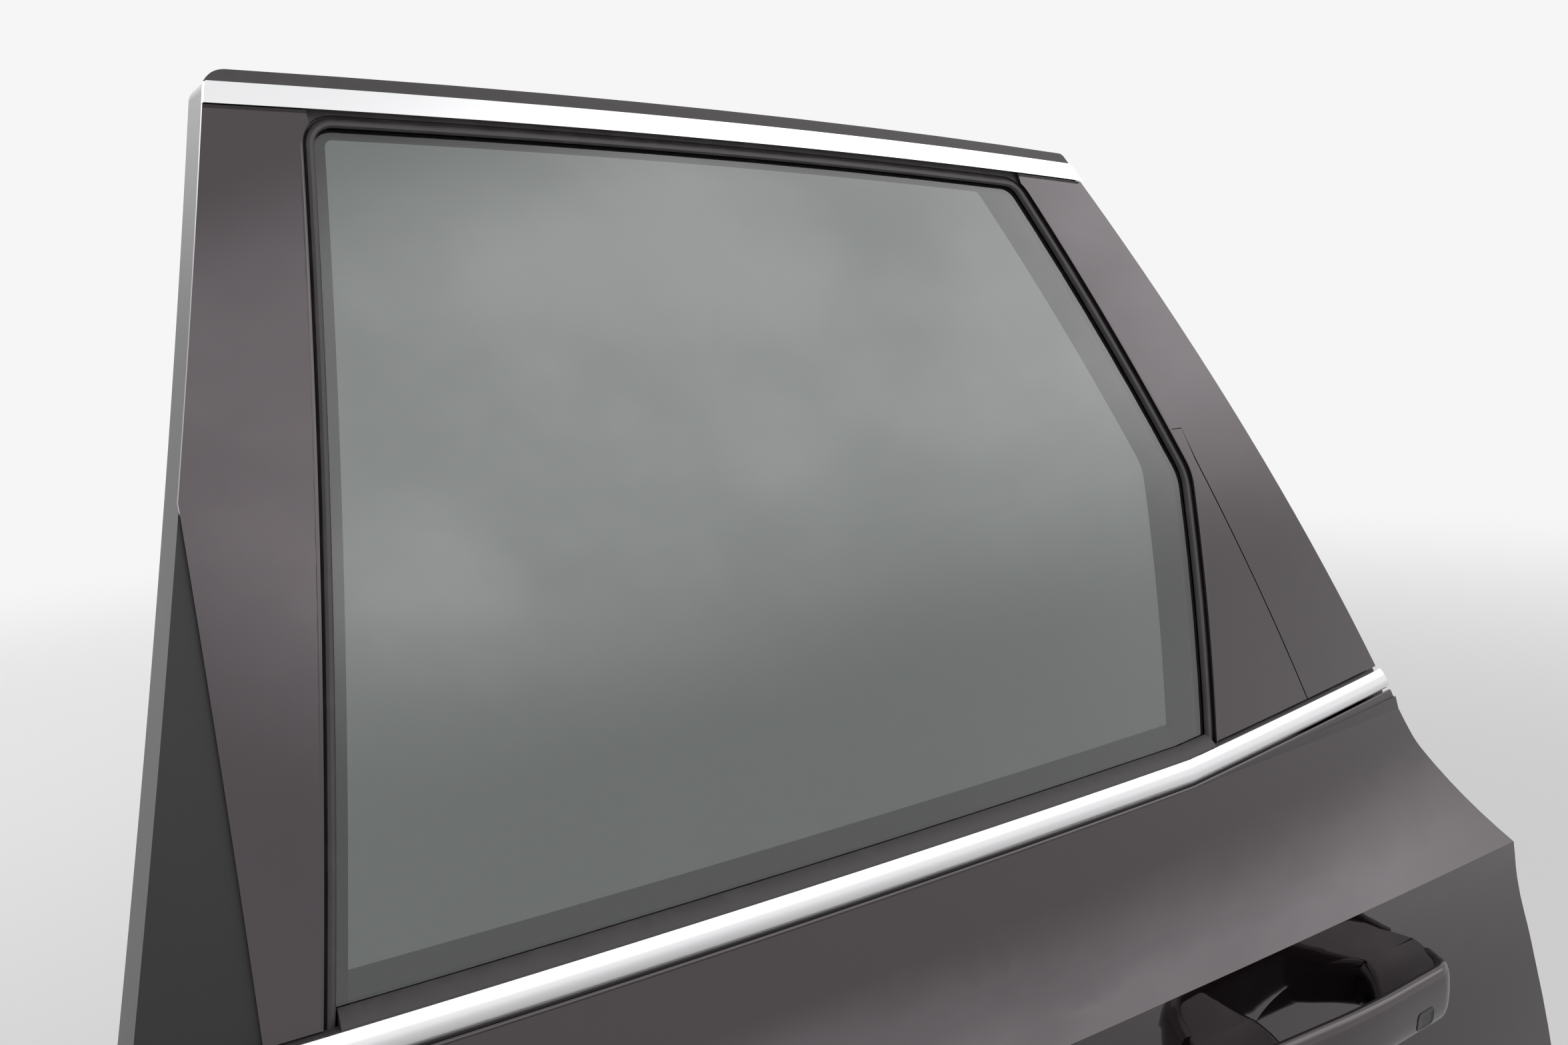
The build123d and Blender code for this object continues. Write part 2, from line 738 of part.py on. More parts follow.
for name, z in hinge_zs.items():
    with BuildPart() as door_leaf:
        with BuildSketch(centre_plane(z - leaf_h / 2)):
            with Locations(plan(hinge_face_x - fit_gap - leaf_t / 2, -6)):
                Rectangle(leaf_t, 52)
        extrude(amount=leaf_h)
        with BuildSketch(centre_plane(z - knuckle_h / 2)):
            with Locations(plan(axis_x, axis_y)):
                Circle(knuckle_r)
            with BuildLine():
                Polyline(
                    plan(axis_x + 2, axis_y - 8), plan(hinge_face_x - leaf_t, axis_y - 6),
                    plan(hinge_face_x - leaf_t, axis_y + 22), plan(axis_x + 2, axis_y + 8), close=True,
                )
            make_face()
        extrude(amount=knuckle_h)
        with BuildSketch(centre_plane(z - knuckle_h / 2)):
            with Locations(plan(axis_x, axis_y)):
                Circle(pin_r + pin_clear)
        extrude(amount=knuckle_h, mode=Mode.SUBTRACT)
    keep(door_leaf, name + "_hinge_door_leaf")

    with BuildPart() as pillar_leaf:
        with BuildSketch(centre_plane(z - leaf_h / 2)):
            with Locations(plan(pillar_leaf_x, pillar_y - leaf_t / 2)):
                Rectangle(pillar_leaf_w, leaf_t)
        extrude(amount=leaf_h)
        with BuildSketch(centre_plane(z - lug_top)):
            with Locations(plan(axis_x, axis_y)):
                Circle(knuckle_r)
            with BuildLine():
                Polyline(
                    plan(axis_x - 7, axis_y - 6), plan(axis_x + 7, axis_y + 6),
                    plan(pillar_leaf_x + pillar_leaf_w / 2 + 6, pillar_y),
                    plan(pillar_leaf_x + pillar_leaf_w / 2 - 6, pillar_y),
                    plan(pillar_leaf_x + pillar_leaf_w / 2 - 6, pillar_y - leaf_t), close=True,
                )
            make_face()
        extrude(amount=2 * lug_top)
        with BuildSketch(centre_plane(z - knuckle_h / 2 - fork_gap)):
            with Locations(plan(axis_x, axis_y)):
                Circle(knuckle_r + 6)
        extrude(amount=knuckle_h + 2 * fork_gap, mode=Mode.SUBTRACT)
        with BuildSketch(centre_plane(z - lug_top)):
            with Locations(plan(axis_x, axis_y)):
                Circle(pin_r + pin_clear)
        extrude(amount=2 * lug_top, mode=Mode.SUBTRACT)
        with BuildSketch(Plane.XZ.offset(-belt_y - pillar_y)):
            with Locations(side(pillar_leaf_x, z)):
                with GridLocations(0, bolt_pitch, 1, 2):
                    Circle(bolt_r)
        extrude(amount=leaf_t, mode=Mode.SUBTRACT)
    keep(pillar_leaf, name + "_hinge_pillar_leaf")

    with BuildPart() as hinge_pin:
        with BuildSketch(centre_plane(z - lug_top)):
            with Locations(plan(axis_x, axis_y)):
                Circle(pin_r)
        extrude(amount=2 * lug_top)
        with BuildSketch(centre_plane(z + lug_top)):
            with Locations(plan(axis_x, axis_y)):
                Circle(pin_r + 3)
        extrude(amount=3)
    keep(hinge_pin, name + "_hinge_pin")

# Check strap: an arc about the hinge axis, so that it slides through its housing as the door swings
housing_x = hinge_face_x + panel_t + fit_gap
housing_w = 8.0
stop_r = 5.5
stop_clear = 2.0
meets_at = degrees(acos((housing_x + housing_w - axis_x) / (strap_r - stop_r)))
strap_tail = meets_at - door_open - degrees((stop_r + stop_clear) / (strap_r - stop_r))
strap_eye = 100.0
eye_r = 9.0
eye_pin_r = 4.0
axis_at = plan(axis_x, axis_y)


def strap_point(radius, angle):
    return (axis_at[0] + radius * cos(radians(angle)), axis_at[1] + radius * sin(radians(angle)))


with BuildPart() as check_strap:
    with BuildSketch(centre_plane(strap_z - strap_h / 2)):
        with BuildLine():
            near_r = strap_r - strap_t / 2
            far_r = strap_r + strap_t / 2
            middle = (strap_tail + strap_eye) / 2
            ThreePointArc(strap_point(far_r, strap_tail), strap_point(far_r, middle), strap_point(far_r, strap_eye))
            Line(strap_point(far_r, strap_eye), strap_point(near_r, strap_eye))
            ThreePointArc(strap_point(near_r, strap_eye), strap_point(near_r, middle), strap_point(near_r, strap_tail))
            Line(strap_point(near_r, strap_tail), strap_point(far_r, strap_tail))
        make_face()
        with Locations(strap_point(strap_r, strap_tail)):
            Circle(stop_r)
        with Locations(strap_point(strap_r, strap_eye)):
            Circle(eye_r)
            Circle(eye_pin_r + pin_clear, mode=Mode.SUBTRACT)
    extrude(amount=strap_h)
keep(check_strap, "check_strap")

ear_t = 4.0
ear_gap = 0.5
bracket_x = -14.0
bracket_h = 52.0
eye_at = strap_point(strap_r, strap_eye)
ear_high = strap_h / 2 + ear_gap + ear_t
bracket_front = edge_x + bracket_x
with BuildPart() as check_bracket:
    with BuildSketch(centre_plane(strap_z - bracket_h / 2)):
        with Locations((bracket_front + ear_t / 2, eye_at[1])):
            Rectangle(ear_t, 34)
    extrude(amount=bracket_h)
    with BuildSketch(centre_plane(strap_z - ear_high)):
        with Locations(eye_at):
            Circle(eye_r)
        with Locations(((bracket_front + eye_at[0]) / 2, eye_at[1])):
            Rectangle(eye_at[0] - bracket_front, 2 * eye_r)
    extrude(amount=2 * ear_high)
    with BuildSketch(centre_plane(strap_z - strap_h / 2 - ear_gap)):
        with Locations((bracket_front + ear_t + 50, eye_at[1])):
            Rectangle(100, 60)
    extrude(amount=strap_h + 2 * ear_gap, mode=Mode.SUBTRACT)
    with BuildSketch(centre_plane(strap_z - ear_high)):
        with Locations(eye_at):
            Circle(eye_pin_r)
    extrude(amount=2 * ear_high)
    with BuildSketch(Plane.YZ.offset(bracket_front)):
        with Locations((eye_at[1], belt_z + strap_z)):
            with GridLocations(0, bolt_pitch, 1, 2):
                Circle(3.5)
    extrude(amount=ear_t, mode=Mode.SUBTRACT)
keep(check_bracket, "check_bracket")

housing_gap = 0.4
with BuildPart() as check_housing:
    with BuildSketch(centre_plane(strap_z - 22)):
        with Locations(plan(housing_x + housing_w / 2, 25)):
            Rectangle(housing_w, 44)
    extrude(amount=44)
    with BuildSketch(centre_plane(strap_z - strap_h / 2 - housing_gap)):
        with Locations(axis_at):
            Circle(strap_r + strap_t / 2 + housing_gap)
            Circle(strap_r - strap_t / 2 - housing_gap, mode=Mode.SUBTRACT)
    extrude(amount=strap_h + 2 * housing_gap, mode=Mode.SUBTRACT)
keep(check_housing, "check_housing")

# Wiring socket on the hinge face
with BuildPart() as wiring_socket:
    with BuildSketch(Plane.YZ.offset(edge_x + hinge_face_x - fit_gap - 3)):
        with Locations((belt_y + 2, belt_z - 300)):
            Circle(22)
    extrude(amount=3)
    with BuildSketch(Plane.YZ.offset(edge_x + hinge_face_x - fit_gap - 12)):
        with Locations((belt_y + 2, belt_z - 300)):
            Circle(17)
            Circle(13, mode=Mode.SUBTRACT)
    extrude(amount=9)
keep(wiring_socket, "wiring_socket")

os.makedirs("parts", exist_ok=True)
for part in finished:
    export_step(part, f"parts/{part.label}.step")
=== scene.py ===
"""Looks for a left rear side door of a crossover: paint, glass, strips, rubber, lining and hardware."""

import math

import bmesh
import bpy
from mathutils import Matrix, Vector


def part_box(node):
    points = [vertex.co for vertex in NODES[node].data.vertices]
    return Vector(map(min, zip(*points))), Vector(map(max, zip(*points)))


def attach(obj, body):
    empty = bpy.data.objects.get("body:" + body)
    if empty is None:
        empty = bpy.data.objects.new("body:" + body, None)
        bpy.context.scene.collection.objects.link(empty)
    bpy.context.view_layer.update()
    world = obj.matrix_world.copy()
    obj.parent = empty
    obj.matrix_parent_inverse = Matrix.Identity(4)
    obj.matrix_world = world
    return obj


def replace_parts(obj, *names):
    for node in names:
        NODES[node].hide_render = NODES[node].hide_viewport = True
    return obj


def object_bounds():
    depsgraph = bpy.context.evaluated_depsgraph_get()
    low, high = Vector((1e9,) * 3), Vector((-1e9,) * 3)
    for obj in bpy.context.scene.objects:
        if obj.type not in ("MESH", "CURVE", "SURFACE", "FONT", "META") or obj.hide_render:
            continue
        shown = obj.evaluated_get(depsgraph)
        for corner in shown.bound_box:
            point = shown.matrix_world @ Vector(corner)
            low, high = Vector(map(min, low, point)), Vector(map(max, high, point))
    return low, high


bl_info = {
    "name": "Rear door looks",
    "version": (1, 0, 0),
    "blender": (4, 5, 0),
    "location": "View3D > Sidebar > Door",
    "description": "Finishes and fine pieces for a rear side door around its packed solids",
    "category": "Object",
}

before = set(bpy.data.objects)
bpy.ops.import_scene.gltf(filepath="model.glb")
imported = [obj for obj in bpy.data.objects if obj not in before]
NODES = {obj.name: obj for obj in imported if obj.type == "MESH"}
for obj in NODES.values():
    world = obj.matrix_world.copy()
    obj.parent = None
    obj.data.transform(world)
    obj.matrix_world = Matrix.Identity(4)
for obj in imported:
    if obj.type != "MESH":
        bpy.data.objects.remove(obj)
CAD_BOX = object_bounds()
MM = 0.001
INWARD = Vector((0.0, 1.0, 0.0))
UP = Vector((0.0, 0.0, 1.0))

# The body side, from the front end of the belt line: curves of the glass and the bow seen from above
EDGE = Vector((52.0, -26.0, 560.0)) * MM
BOW_RADIUS = 7650.0 * MM
BOW_MIDDLE = 300.0 * MM
LEAN_RADIUS = 1695.0 * MM
LEAN_ANGLE = math.radians(9.54)

# The window's seen opening and the strip below it, seen from the side, in millimetres from the same point
WINDOW_FRONT = 95.0
WINDOW_FRONT_SLOPE = 0.148
WINDOW_TOP = ((161.0, 446.0), (415.0, 432.5), (657.0, 413.0))
WINDOW_TOP_ROUND = 12.0
WINDOW_KINK = (754.0, 196.0)
WINDOW_KINK_ROUND = 30.0
WINDOW_REAR_SLOPE = 0.123
STRIP_BEND = 700.0
STRIP_RISE = 0.068
STRIP_HEIGHT = 17.5
STRIP_SLOPES = (0.2288, -0.45)

# The skin below the strip, the handle and its bowl, the lined face and the bolts, lengths in millimetres
SKIN_FACE = -60.0
SKIN_MIDDLE = 450.0
SKIN_BOW = 32000.0
HOLLOW_LEVEL = -192.0
HOLLOW_HALF = 63.0
HOLLOW_DEPTH = 6.0
BOWL_CENTRE = Vector((772.0, -197.0))
BOWL_REACH = (75.4, 36.4)
BOWL_FLOOR = -38.2
BAR_LEVEL = -194.0
BAR_ROUNDNESS = 2.6
LINED_FACE = 66.3
HINGE_BOLT_SPACING = 40.0

# The photograph's camera, in the door's own frame
CAMERA_AT = Vector((0.01824, -0.6718, 0.9100))
CAMERA_YAW = math.radians(31.54)
CAMERA_PITCH = math.radians(-9.892)
CAMERA_ROLL = math.radians(-2.515)
CAMERA_FOCUS = 2050.0
PHOTO_WIDTH = 2352.0
SENSOR = 36.0


def side_point(x, z, depth=0.0):
    """The body side's point at x and z from the belt line's front end and depth in, in millimetres."""
    x, z, depth = x * MM, z * MM, depth * MM
    height = z + LEAN_RADIUS * math.sin(LEAN_ANGLE)
    across = LEAN_RADIUS * math.cos(LEAN_ANGLE) - math.sqrt((LEAN_RADIUS - depth) ** 2 - height**2)
    reach = math.sqrt((BOW_RADIUS - across) ** 2 - (x - BOW_MIDDLE) ** 2)
    return EDGE + Vector((x, BOW_RADIUS - reach, z))


def bow(x):
    """How far in the bow stands at x, in millimetres."""
    return (x - BOW_MIDDLE / MM) ** 2 / (2 * BOW_RADIUS / MM)


def flat_point(x, y, z):
    """The point at these millimetres from the belt line's front end."""
    return EDGE + Vector((x, y, z)) * MM


def upright_point(x, y, z):
    """A point of the inner side, whose surfaces follow the bow only."""
    return flat_point(x, y + bow(x), z)


def rounded(corners, steps=6):
    """Points of an outline whose corners, given as (x, y, radius), are rounded unless the radius is 0."""
    points = []
    for index, (x, y, radius) in enumerate(corners):
        here = Vector((x, y))
        if radius == 0:
            points.append(here)
            continue
        before = (Vector(corners[index - 1][:2]) - here).normalized()
        after = (Vector(corners[(index + 1) % len(corners)][:2]) - here).normalized()
        half = before.angle(after) / 2
        centre = here + (before + after).normalized() * (radius / math.sin(half))
        start = here + before * (radius / math.tan(half)) - centre
        end = here + after * (radius / math.tan(half)) - centre
        turn = math.atan2(start.x * end.y - start.y * end.x, start.dot(end))
        for step in range(steps + 1):
            angle = turn * step / steps
            across = Vector((-start.y, start.x))
            points.append(centre + start * math.cos(angle) + across * math.sin(angle))
    return points


def finer(points, longest):
    """The same run of points with none further apart than longest."""
    made = [points[0]]
    for start, end in zip(points, points[1:]):
        count = max(1, math.ceil((end - start).length / longest))
        made.extend(start.lerp(end, step / count) for step in range(1, count + 1))
    return made


def finer_loop(corners, arc, sides):
    """A closed outline of arcs with this many points each, and its sides divided into these counts."""
    made = []
    for index, start in enumerate(corners):
        end = corners[(index + 1) % len(corners)]
        count = sides[index // arc] if index % arc == arc - 1 else 1
        made.extend(start.lerp(end, step / count) for step in range(count))
    return made


def with_normals(points):
    """Pairs of a point and the direction to its left, for an open run of points."""
    pairs = []
    for index, point in enumerate(points):
        ahead = points[min(index + 1, len(points) - 1)] - points[max(index - 1, 0)]
        ahead.normalize()
        pairs.append((point, Vector((-ahead.y, ahead.x))))
    return pairs


def window_run(low):
    """The window's seen edge from the belt up the front, along the top and down the rear."""
    front, middle, rear = WINDOW_TOP
    span = rear[0] - front[0]
    lift = middle[1] - (front[1] + (rear[1] - front[1]) * (middle[0] - front[0]) / span)
    corners = [(WINDOW_FRONT + WINDOW_FRONT_SLOPE * low, low, 0.0), (*front, WINDOW_TOP_ROUND)]
    for step in range(1, 12):
        share = step / 12
        rise = front[1] + (rear[1] - front[1]) * share + 4 * lift * share * (1 - share)
        corners.append((front[0] + span * share, rise, 0.0))
    corners.append((*rear, WINDOW_TOP_ROUND))
    corners.append((*WINDOW_KINK, WINDOW_KINK_ROUND))
    corners.append((WINDOW_KINK[0] + WINDOW_REAR_SLOPE * (low - WINDOW_KINK[1]), low, 0.0))
    return with_normals(finer(rounded(corners), 14.0))


def belt_run(start, end, height=0.0, rise=STRIP_RISE):
    """A run along the belt line, which climbs behind the strip's bend."""
    last = Vector((end, height + rise * (end - STRIP_BEND)))
    return with_normals(finer([Vector((start, height)), Vector((STRIP_BEND, height)), last], 12.0))


def ribbon(run, profile, skew=(0.0, 0.0), swell=None, widen=None):
    """Outlines of an (across, depth) profile that is swept along a run of the body side.

    Swell scales what stands above the run, by the share of its length, and widen lifts it, by its x.
    """
    outlines = []
    for index, (point, side) in enumerate(run):
        lean = skew[0] if index == 0 else skew[1] if index == len(run) - 1 else 0.0
        factor = swell(index / (len(run) - 1)) if swell else 1.0
        lift = widen(point.x) if widen else 0.0
        outline = []
        for across, depth in profile:
            reach = across * factor + lift if across > 0 else across
            place = point + side * reach
            outline.append(side_point(place.x + lean * place.y, place.y, depth))
        outlines.append(outline)
    return outlines


def circle(count):
    """This many angles, evenly round a circle."""
    return [2 * math.pi * step / count for step in range(count)]


def hexagon(angle):
    """How far a hexagon reaches at an angle, where its flats are at 1."""
    return 1 / math.cos((angle + math.pi / 6) % (math.pi / 3) - math.pi / 6)


def turned(centre, axis, profile, sides=24, cornered=()):
    """Outlines of a (radius, height) profile turned about an axis; those in cornered are hexagons."""
    across = axis.orthogonal().normalized()
    beside = axis.cross(across)
    outlines = []
    for level, (radius, height) in enumerate(profile):
        outline = []
        for angle in circle(sides):
            reach = radius * math.cos(math.pi / 6) * hexagon(angle) if level in cornered else radius
            out = across * math.cos(angle) + beside * math.sin(angle)
            outline.append(centre + (out * reach + axis * height) * MM)
        outlines.append(outline)
    return outlines


def band(shape, first, second):
    """Faces between two rings of vertices."""
    for index in range(len(first)):
        after = (index + 1) % len(first)
        shape.faces.new((first[index], first[after], second[after], second[index]))


def skinned(*lofts):
    """A shape of lofts: each joins outlines of as many points and closes the first and the last."""
    shape = bmesh.new()
    for outlines in lofts:
        rings = [[shape.verts.new(place) for place in outline] for outline in outlines]
        for first, second in zip(rings, rings[1:]):
            band(shape, first, second)
        shape.faces.new(rings[0])
        shape.faces.new(rings[-1][::-1])
    return shape


def new_object(name, shape):
    """Turns a shape into an object of the scene."""
    bmesh.ops.recalc_face_normals(shape, faces=shape.faces)
    mesh = bpy.data.meshes.new(name)
    shape.to_mesh(mesh)
    shape.free()
    made = bpy.data.objects.new(name, mesh)
    bpy.context.scene.collection.objects.link(made)
    return made


def piece(name, shape, finish, sharp=35.0):
    """Makes a piece that rides on the door from a shape, with smooth faces and a finish."""
    made = new_object(name, shape)
    made.data.polygons.foreach_set("use_smooth", [True] * len(made.data.polygons))
    made.data.set_sharp_from_angle(angle=math.radians(sharp))
    made.data.materials.append(finish_of(finish))
    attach(made, "door")
    return made


class Value:
    """A shader socket that can stand in a Python sum: each operator adds its Math node."""

    def __init__(self, finish, socket):
        self.finish = finish
        self.socket = socket

    def _maths(self, operation, first, second=0.0):
        return self.finish.node("ShaderNodeMath", {"operation": operation}, {0: first, 1: second})

    def __add__(self, other):
        return self._maths("ADD", self, other)

    def __radd__(self, other):
        return self._maths("ADD", other, self)

    def __sub__(self, other):
        return self._maths("SUBTRACT", self, other)

    def __rsub__(self, other):
        return self._maths("SUBTRACT", other, self)

    def __mul__(self, other):
        return self._maths("MULTIPLY", self, other)

    def __rmul__(self, other):
        return self._maths("MULTIPLY", other, self)

    def __gt__(self, other):
        return self._maths("GREATER_THAN", self, other)


class Nodes:
    """A node tree, with one method for any node."""

    def __init__(self, tree):
        self.tree = tree

    def node(self, kind, settings=None, inputs=None, output=0):
        """Adds a node: its settings first, then the values or links of its sockets."""
        made = self.tree.nodes.new(kind)
        for key, value in (settings or {}).items():
            setattr(made, key, value)
        for key, value in (inputs or {}).items():
            self.join(value, made.inputs[key])
        return Value(self, made.outputs[output])

    def join(self, value, socket):
        """Links a Value to a socket, or writes a plain number or colour on it."""
        if isinstance(value, Value):
            self.tree.links.new(value.socket, socket)
        elif hasattr(value, "__len__") and len(value) == 3 and len(socket.default_value) == 4:
            socket.default_value = (*value, 1.0)
        else:
            socket.default_value = value

    def ease(self, value, low, high, start=0.0, end=1.0):
        """A smooth step of value from low to high."""
        settings = {"interpolation_type": "SMOOTHSTEP"}
        return self.node("ShaderNodeMapRange", settings, {0: value, 1: low, 2: high, 3: start, 4: end})

    def mix(self, mask, first, second):
        """A colour between two, by mask."""
        return self.node("ShaderNodeMix", {"data_type": "RGBA"}, {0: mask, 6: first, 7: second}, 2)


class Finish(Nodes):
    """A material made of nodes, with short methods for the common patterns."""

    def __init__(self, name):
        self.material = bpy.data.materials.new(name)
        self.material.use_nodes = True
        super().__init__(self.material.node_tree)
        self.shader = self.tree.nodes["Principled BSDF"]
        self.place = self.node("ShaderNodeTexCoord", output="Object")

    def set(self, **values):
        """Sets the main shader's sockets; an underscore stands for the space in a socket's name."""
        for key, value in values.items():
            self.join(value, self.shader.inputs[key.replace("_", " ")])

    def stretched(self, scale):
        """The object's own coordinates, scaled per axis."""
        return self.node("ShaderNodeVectorMath", {"operation": "MULTIPLY"}, {0: self.place, 1: scale})

    def noise(self, scale, detail=2.0, stretch=None):
        """Soft noise with this many features a metre."""
        where = self.stretched(stretch) if stretch else self.place
        return self.node("ShaderNodeTexNoise", {}, {"Vector": where, "Scale": scale, "Detail": detail})

    def cells(self, scale, feature="F1", output="Distance"):
        """Voronoi cells with this many a metre."""
        settings = {"feature": feature}
        return self.node("ShaderNodeTexVoronoi", settings, {"Vector": self.place, "Scale": scale}, output)

    def bump(self, height, depth):
        """A normal from a height pattern that is depth metres deep."""
        return self.node("ShaderNodeBump", {}, {"Height": height, "Distance": depth})

    def axis(self, index):
        """One coordinate of the object's own space."""
        return self.node("ShaderNodeSeparateXYZ", {}, {0: self.place}, index)

    def specks(self, scale, size, share):
        """Small round domes on a share of the cells: dried drops and grit."""
        dome = self.ease(self.cells(scale), size, 0.25 * size)
        picked = self.cells(scale, output="Color") > (1.0 - share)
        return dome * picked


def paint_finish(finish, colours):
    """Black paint under one clear layer: faint flake, orange peel, dried drops and road dust low down."""
    flake = finish.ease(finish.cells(1600.0, output="Color"), 0.86, 1.0)
    dust = finish.ease(finish.axis(2), 0.12, -0.13) * finish.noise(14.0, 5.0)
    base = finish.mix(flake * 0.3, colours.paint, colours.flake)
    base = finish.mix(dust * 0.12, base, colours.dust)
    peel = finish.noise(70.0, 1.0) + 0.25 * finish.noise(420.0, 1.0)
    drops = finish.specks(190.0, 0.15, 0.03)
    finish.set(
        Base_Color=base,
        Roughness=0.03 + 0.25 * dust + 0.1 * drops,
        Specular_IOR_Level=0.95,
        Specular_Tint=colours.clear_tint,
        Normal=finish.bump(0.15 * peel + drops, 0.00008),
    )


def gloss_finish(finish, colours):
    """Gloss black plastic with faint polishing haze, fine wiping lines and dried drops."""
    haze = finish.noise(26.0, 6.0, (1.0, 1.0, 0.35))
    scratch = finish.ease(finish.noise(900.0, 2.0, (1.0, 1.0, 0.05)), 0.62, 0.80)
    drops = finish.specks(200.0, 0.15, 0.04)
    finish.set(
        Base_Color=finish.mix(haze, colours.gloss, colours.gloss_haze),
        Roughness=0.015 + 0.03 * haze + 0.06 * scratch + 0.1 * drops,
        Specular_IOR_Level=1.0,
        Specular_Tint=colours.clear_tint,
        Normal=finish.bump(0.1 * finish.noise(55.0, 1.0) + drops, 0.0001),
    )


def satin_finish(finish, colours):
    """Satin black coating of the window frame."""
    grit = finish.noise(2600.0, 2.0)
    finish.set(
        Base_Color=finish.mix(finish.noise(18.0, 4.0), colours.satin, colours.gloss_haze),
        Roughness=0.34 + 0.16 * grit,
        Normal=finish.bump(grit, 0.00002),
    )


def glass_finish(finish, colours):
    """Tinted window glass, a little dusty, with dried drops on it."""
    wiped = finish.ease(finish.noise(5.0, 4.0, (1.0, 1.0, 0.3)), 0.45, 0.75)
    drops = finish.specks(150.0, 0.15, 0.02)
    finish.set(
        Base_Color=finish.mix(wiped * 0.4, colours.glass, colours.glass_haze),
        Roughness=0.0,
        IOR=1.52,
        Transmission_Weight=1.0,
        Coat_Weight=1.0,
        Coat_Roughness=0.0,
        Normal=finish.bump(drops, 0.00005),
    )


def rubber_finish(finish, colours):
    """Dull rubber with a dusty bloom."""
    bloom = finish.ease(finish.noise(60.0, 5.0), 0.4, 0.75)
    grain = finish.noise(3000.0, 2.0)
    finish.set(
        Base_Color=finish.mix(bloom * 0.6, colours.rubber, colours.rubber_bloom),
        Roughness=0.5 + 0.14 * bloom,
        Normal=finish.bump(grain, 0.00003),
    )


def felt_finish(finish, colours):
    """Pale flocked lining of the run channel, behind the glass."""
    fibre = finish.noise(2400.0, 3.0, (1.0, 1.0, 0.4))
    finish.set(
        Base_Color=finish.mix(fibre, colours.felt, colours.rubber_bloom),
        Roughness=0.9,
        Sheen_Weight=0.3,
        Normal=finish.bump(fibre, 0.0001),
    )


def strip_finish(finish, colours):
    """Bright anodised strip, drawn along its length."""
    drawn = finish.noise(1.0, 3.0, (4.0, 2600.0, 2600.0))
    finish.set(
        Base_Color=finish.mix(finish.noise(7.0, 3.0) * 0.5, colours.bright, colours.bright_shade),
        Metallic=1.0,
        Roughness=0.15 + 0.10 * drawn,
        Normal=finish.bump(drawn, 0.000004),
    )


def grained_finish(finish, colour, worn, cells_per_metre, depth):
    """Moulded plastic with a leather-like grain."""
    grain = finish.ease(finish.cells(cells_per_metre, "DISTANCE_TO_EDGE"), 0.0, 0.22)
    fine = finish.noise(cells_per_metre * 3.0, 3.0)
    rubbed = finish.ease(finish.noise(9.0, 4.0), 0.5, 0.8)
    finish.set(
        Base_Color=finish.mix(0.35 * rubbed + 0.3 * (1.0 - grain), colour, worn),
        Roughness=0.58 - 0.10 * grain - 0.08 * rubbed,
        Normal=finish.bump(grain + 0.3 * fine, depth),
    )


def lining_finish(finish, colours):
    """Grained plastic of the trim pad."""
    grained_finish(finish, colours.lining, colours.lining_worn, 700.0, 0.00012)


def cladding_finish(finish, colours):
    """Finer grained plastic of the moulding along the bottom."""
    grained_finish(finish, colours.cladding, colours.cladding_worn, 900.0, 0.0001)


def pad_finish(finish, colours):
    """Soft leather-like cover of the armrest and the insert."""
    pebble = finish.ease(finish.cells(620.0, "DISTANCE_TO_EDGE"), 0.0, 0.30)
    crease = finish.noise(38.0, 6.0, (1.0, 2.2, 1.0))
    finish.set(
        Base_Color=finish.mix(0.5 * crease + 0.3 * (1.0 - pebble), colours.pad, colours.pad_worn),
        Roughness=0.46 + 0.12 * crease,
        Sheen_Weight=0.15,
        Normal=finish.bump(pebble + 0.8 * crease, 0.00014),
    )


def thread_finish(finish, colours):
    """Twisted thread of the seams."""
    twist = finish.noise(1500.0, 2.0, (0.3, 1.0, 1.0))
    finish.set(
        Base_Color=finish.mix(twist, colours.thread, colours.pad_worn),
        Roughness=0.7,
        Normal=finish.bump(twist, 0.0001),
    )


def steel_finish(finish, colours):
    """Zinc plated steel with a faint spangle."""
    spangle = finish.cells(170.0, output="Color")
    finish.set(
        Base_Color=finish.mix(spangle * 0.5, colours.steel, colours.steel_shade),
        Metallic=1.0,
        Roughness=0.30 + 0.14 * spangle + 0.08 * finish.noise(500.0, 3.0),
        Normal=finish.bump(finish.noise(700.0, 3.0), 0.00002),
    )


# Each finish, with the record's slot for the pieces that have it
FINISHES = {
    "body_paint": (paint_finish, "black_paint"),
    "gloss_plastic": (gloss_finish, "gloss_black"),
    "satin_coat": (satin_finish, "satin_black"),
    "window_glass": (glass_finish, "tinted_glass"),
    "seal_rubber": (rubber_finish, "rubber"),
    "channel_felt": (felt_finish, "rubber"),
    "anodised_strip": (strip_finish, "bright_strip"),
    "lining_plastic": (lining_finish, "inner_plastic"),
    "moulding_plastic": (cladding_finish, "cladding_plastic"),
    "arm_cover": (pad_finish, "arm_pad"),
    "seam_thread": (thread_finish, "arm_pad"),
    "plated_steel": (steel_finish, "latch_steel"),
}


def finish_of(name):
    """The material of a finish, made the first time that a piece asks for it."""
    if name not in bpy.data.materials:
        FINISHES[name][0](Finish(name), bpy.context.scene.door_colours)
    return bpy.data.materials[name]


def wear(finish, *names):
    """Gives CAD nodes a finish on their objects' own slots."""
    for name in names:
        for holder in NODES[name].material_slots:
            holder.link = "OBJECT"
            holder.material = finish_of(finish)


def colour_prop(name, description, default):
    """A colour that a user may change."""
    return bpy.props.FloatVectorProperty(
        name=name, description=description, subtype="COLOR", size=3, min=0.0, max=1.0, default=default
    )


def length_prop(name, description, default):
    """A length that a user may change, given in millimetres and kept in metres."""
    default *= MM
    return bpy.props.FloatProperty(
        name=name, description=description, unit="LENGTH", subtype="DISTANCE", min=0.0, default=default
    )


